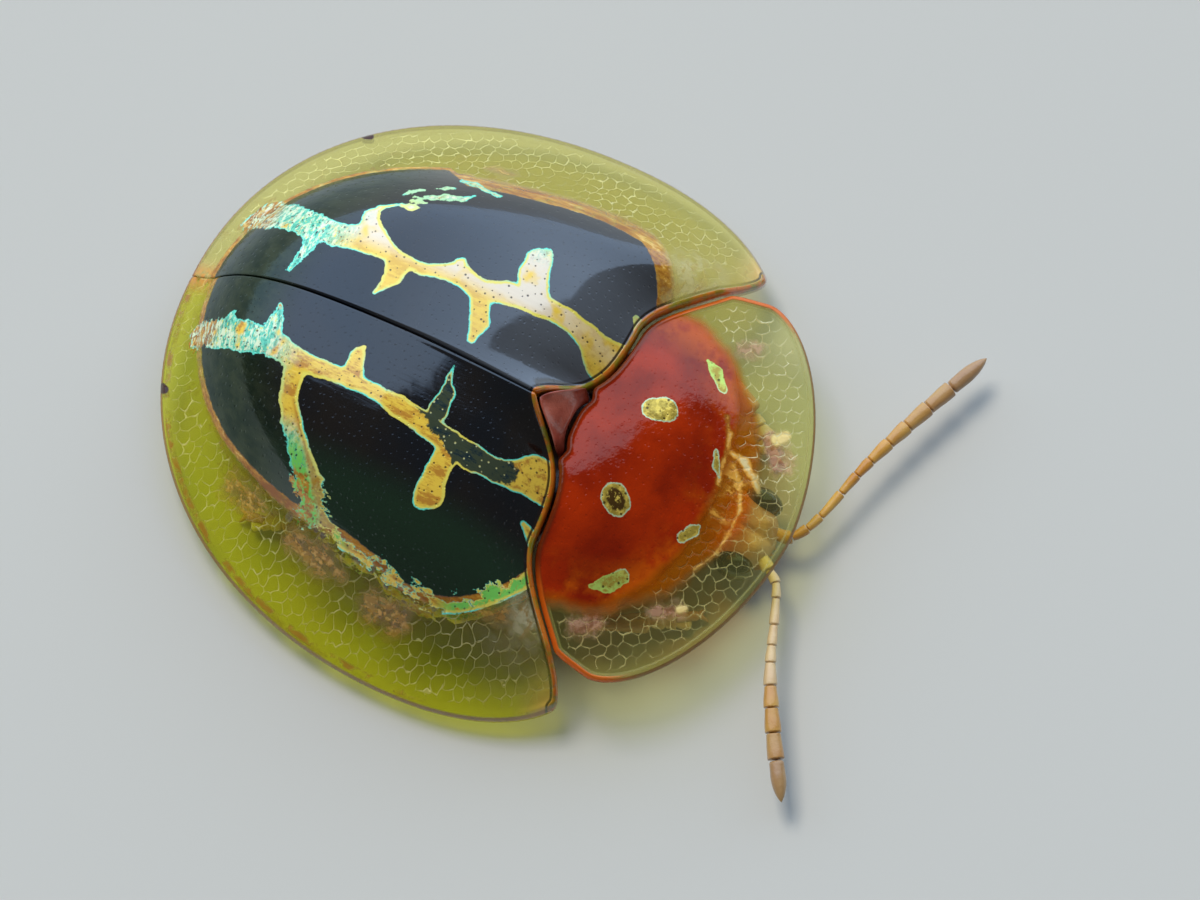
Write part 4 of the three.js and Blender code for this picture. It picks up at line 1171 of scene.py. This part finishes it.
# Antennae: eleven joints each, slender and then clubbed
feeler = {"shares": (0.083, 0.058, 0.06, 0.108, 0.082, 0.067, 0.09, 0.086, 0.098, 0.104, 0.164),
          "waists": (0.062, 0.05, 0.046, 0.046, 0.048, 0.052, 0.06, 0.07, 0.078, 0.084, 0.084),
          "swells": (0.08, 0.062, 0.057, 0.058, 0.06, 0.066, 0.08, 0.09, 0.096, 0.098, 0.096),
          # The right antenna's slender joints are painted pale as a painted highlight
          "paintedHighlight": {"Left": 0.0, "Right": 0.45},
          "paths": {"Left": [(1.2, 0.14, 0.5), (1.42, 0.16, 0.48), (1.56, 0.3, 0.5), (1.68, 0.6, 0.51),
                             (1.87, 1.3, 0.52), (2.16, 2.1, 0.49), (2.57, 3.08, 0.45)],
                    "Right": [(1.2, -0.14, 0.5), (1.42, -0.3, 0.49), (1.56, -0.43, 0.5), (1.71, -0.8, 0.51),
                              (1.92, -1.35, 0.52), (2.25, -1.97, 0.49), (2.69, -2.68, 0.45)]}}


def curve(points):  # a smooth way through the points, by share of its length
    points = [at3(*p) for p in points]
    padded = [2 * points[0] - points[1], *points, 2 * points[-1] - points[-2]]
    fine = []
    for a, b, c, d in zip(padded, padded[1:], padded[2:], padded[3:]):
        for i in range(12):
            k = i / 12
            fine.append(0.5 * (2 * b + (c - a) * k + (2 * a - 5 * b + 4 * c - d) * k ** 2
                               + (3 * b - a - 3 * c + d) * k ** 3))
    fine.append(points[-1])
    steps = [0.0]
    for a, b in zip(fine, fine[1:]):
        steps.append(steps[-1] + (b - a).length)

    def along(u):
        far = u * steps[-1]
        i = int(min(np.searchsorted(steps, far, side="right") - 1, len(fine) - 2))
        k = (far - steps[i]) / max(steps[i + 1] - steps[i], 1e-9)
        return fine[i].lerp(fine[i + 1], min(k, 1))

    return along


def addAntenna(name, kind):
    bm = bmesh.new()
    way = curve(feeler["paths"][name])
    start = 0.0
    last = len(feeler["shares"]) - 1
    for i, share in enumerate(feeler["shares"]):
        thin, thick = feeler["waists"][i], feeler["swells"][i]

        def path(u, a=start, b=share):
            return way(min(a + b * u, 1))

        def radius(u, thin=thin, thick=thick, end=i == last):
            swell = thin + (thick - thin) * sin(pi * u ** 1.3 * 0.62) ** 1.2
            if end:
                point = 1 if u < 0.35 else (1 - ((u - 0.35) / 0.65) ** 1.9) ** 0.8
                return swell * ovalEnds(u, 0.06) * point
            return swell * (0.8 + 0.2 * ovalEnds(u, 0.05)) * ovalEnds(u, 0.012)

        club = max(i - last + 4, 0) / 4
        addTube(bm, path, radius, 26, 20, pad=feeler["paintedHighlight"][name] * (1 - club) - club)
        start += share
    mesh = meshOf("antenna" + name, bm)
    return finishPiece("antenna" + name, mesh, kind, ["antenna_" + name.lower()])


# Legs: coxa, trochanter, femur, tibia, four tarsal joints with a two-lobed third, and claws
legs = {"Front": [(-0.4, 0.38, 0.34), (-0.42, 0.85, 0.3), (-0.12, 1.72, 0.34), (0.42, 1.38, 0.26),
                  (0.88, 1.02, 0.15)],
        "Middle": [(-1.75, 0.5, 0.48), (-1.85, 1.0, 0.42), (-1.75, 1.95, 0.42), (-2.15, 2.3, 0.28),
                   (-2.45, 2.6, 0.15)],
        "Hind": [(-2.62, 0.5, 0.48), (-2.85, 1.0, 0.42), (-3.35, 1.95, 0.42), (-3.85, 2.15, 0.28),
                 (-4.3, 2.2, 0.15)]}
limb = {"coxa": 0.27, "trochanter": 0.19, "femur": 0.23, "knee": 0.15, "ankle": 0.13, "pad": 0.13,
        "claw": 0.04}


def addLeg(name, side, points, kind):
    bm = bmesh.new()
    coxa, hip, knee, ankle, toe = [at3(s, side * t, z) for s, t, z in points]
    addTube(bm, straight(coxa + Vector((0, 0, 0.3)), coxa - Vector((0, 0, 0.02))),
            lambda u: limb["coxa"] * ovalEnds(u, 0.5), 20, 24, up=(1, 0, 0))
    addTube(bm, straight(coxa.lerp(hip, 0.15), hip.lerp(knee, 0.12)),
            lambda u: limb["trochanter"] * ovalEnds(u, 0.35), 18, 20)

    def thigh(u):
        return limb["femur"] * (0.62 + 0.42 * sin(pi * min(u * 1.15, 1)) ** 0.8) * ovalEnds(u, 0.12)

    addTube(bm, straight(hip, knee, 0.02), thigh, 36, 26, squash=0.82)
    addTube(bm, straight(knee.lerp(hip, 0.05), ankle, 0.03),
            lambda u: mix(0.085, limb["ankle"], u ** 1.4) * ovalEnds(u, 0.1), 30, 20)
    addTube(bm, straight(knee.lerp(hip, 0.09), knee.lerp(ankle, 0.1)),
            lambda u: limb["knee"] * ovalEnds(u, 0.4), 14, 20)
    way = toe - ankle
    aside = way.cross(Vector((0, 0, 1))).normalized()
    low = Vector((0, 0, -0.02))
    sole = [ankle.lerp(toe, k) + low for k in (0.0, 0.24, 0.47, 0.75, 1.0)]
    for i, (reach, flat) in enumerate([(0.1, 0.75), (limb["pad"], 0.6)]):
        addTube(bm, straight(sole[i], sole[i + 1] + way * 0.05),
                lambda u, r=reach: r * (0.55 + 0.5 * u) * ovalEnds(u, 0.25), 16, 18, squash=flat, pad=0.5)
    for lobe in (1, -1):
        tip = sole[3] + aside * 0.085 * lobe + way * 0.06 + low
        addTube(bm, straight(sole[2] + aside * 0.03 * lobe, tip),
                lambda u: 0.085 * (0.6 + 0.5 * u) * ovalEnds(u, 0.35), 18, 18, squash=0.6, pad=1.0)
        hook = [sole[4] - way * 0.02, sole[4] + way * 0.09 + aside * 0.05 * lobe + Vector((0, 0, 0.02)),
                sole[4] + way * 0.15 + aside * 0.07 * lobe - Vector((0, 0, 0.09))]
        addTube(bm, lambda u, h=hook: h[0].lerp(h[1], u).lerp(h[1].lerp(h[2], u), u),
                lambda u: limb["claw"] * (1 - 0.85 * u) * ovalEnds(u, 0.15), 16, 10)
    addTube(bm, straight(sole[2] + Vector((0, 0, 0.05)), sole[4], 0.02),
            lambda u: mix(0.045, 0.065, u) * ovalEnds(u, 0.2), 20, 14)
    for vert in bm.verts:
        vert.co.z = max(vert.co.z, 0.0)
    nodes = ["leg_" + name.lower().replace("left", "_left").replace("right", "_right")]
    return finishPiece("leg" + name, meshOf("leg" + name, bm), kind, nodes)


# Horn: foot pads are pale, the right antenna's slender joints take that pale as a painted highlight, and
# the antennae's clubs dark
horn = {"pad": (0.95, 0.82, 0.55), "club": (0.36, 0.22, 0.12), "clubShare": 0.75,
        "finish": {"redHorn": ((0.50, 0.13, 0.08), (0.20, 0.02, 0.008), 0.12, 1.0),
                   "bellyHorn": ((0.16, 0.06, 0.02), (0.05, 0.02, 0.01), 0.3, 0.6),
                   "pinkHorn": ((0.80, 0.48, 0.28), (0.55, 0.25, 0.13), 0.28, 0.7),
                   "amberHorn": ((0.74, 0.42, 0.08), (0.60, 0.25, 0.035), 0.25, 0.7)}}


def hornMaterial(name):
    pale, deep, rough, gloss = horn["finish"][name]
    made, tree, shader = material(name)
    at = place(tree)
    grain = use("grain", Place=at, Size=0.5)
    body = blend(grain["Cloud"], pale, deep)
    tone = attribute(tree, "pad")
    body = blend(most(tone, 0.0), body, horn["pad"])
    body = blend(least(tone, 0.0) * -horn["clubShare"], body, horn["club"])
    height = grain["Fine"] * 0.5 + grain["Cloud"]
    wire(shader, Base_Color=body, Normal=relief(height, 0.01), Coat_Weight=gloss, Coat_Roughness=0.12,
         Roughness=rough + grain["Fine"] * 0.15)
    return made


def eyeMaterial():
    made, tree, shader = material("facets")
    at = place(tree)
    cells = use("honeycomb", Place=at, Cell=eye["facet"], Warp=0.0)
    body = blend(cells["Wall"], eye["dark"], eye["wall"])
    wire(shader, Base_Color=body, Normal=relief(cells["Height"], 0.008), Roughness=0.25, Coat_Weight=1.0,
         Coat_Roughness=0.08)
    return made


for name, kind in lamps.items():
    addLamp(name, kind)
addRoom()
print("lamps and room set")
elytraFinish = shellMaterial()
for name, side in sides.items():
    addElytron(name, side, elytraFinish)
addPronotum(pronotumMaterial())
print("elytra and pronotum made")
addScutellum(hornMaterial("redHorn"))
addBody(hornMaterial("bellyHorn"))
pinkHorn = hornMaterial("pinkHorn")
addHead(pinkHorn)
amberHorn = hornMaterial("amberHorn")
facets = eyeMaterial()
for name, side in sides.items():
    addEye(name, side, facets)
    addAntenna(name, amberHorn)
    for pair, points in legs.items():
        addLeg(pair + name, side, points, pinkHorn)
print("head, body and limbs made")


def addFloor():
    bm = bmesh.new()
    bmesh.ops.create_circle(bm, cap_ends=True, segments=96, radius=1.2)
    mesh = bpy.data.meshes.new("floor")
    bm.to_mesh(mesh)
    bm.free()
    made, tree, shader = material("paleFloor")
    soft = noise(place(tree), 0.02, 2.0)
    shaded = tuple(0.97 * c for c in light["floor"])
    wire(shader, Base_Color=blend(soft, light["floor"], shaded), Roughness=0.9, Specular_IOR_Level=0.1)
    mesh.materials.append(made)
    floor = bpy.data.objects.new("floor", mesh)
    scene.collection.objects.link(floor)


addFloor()
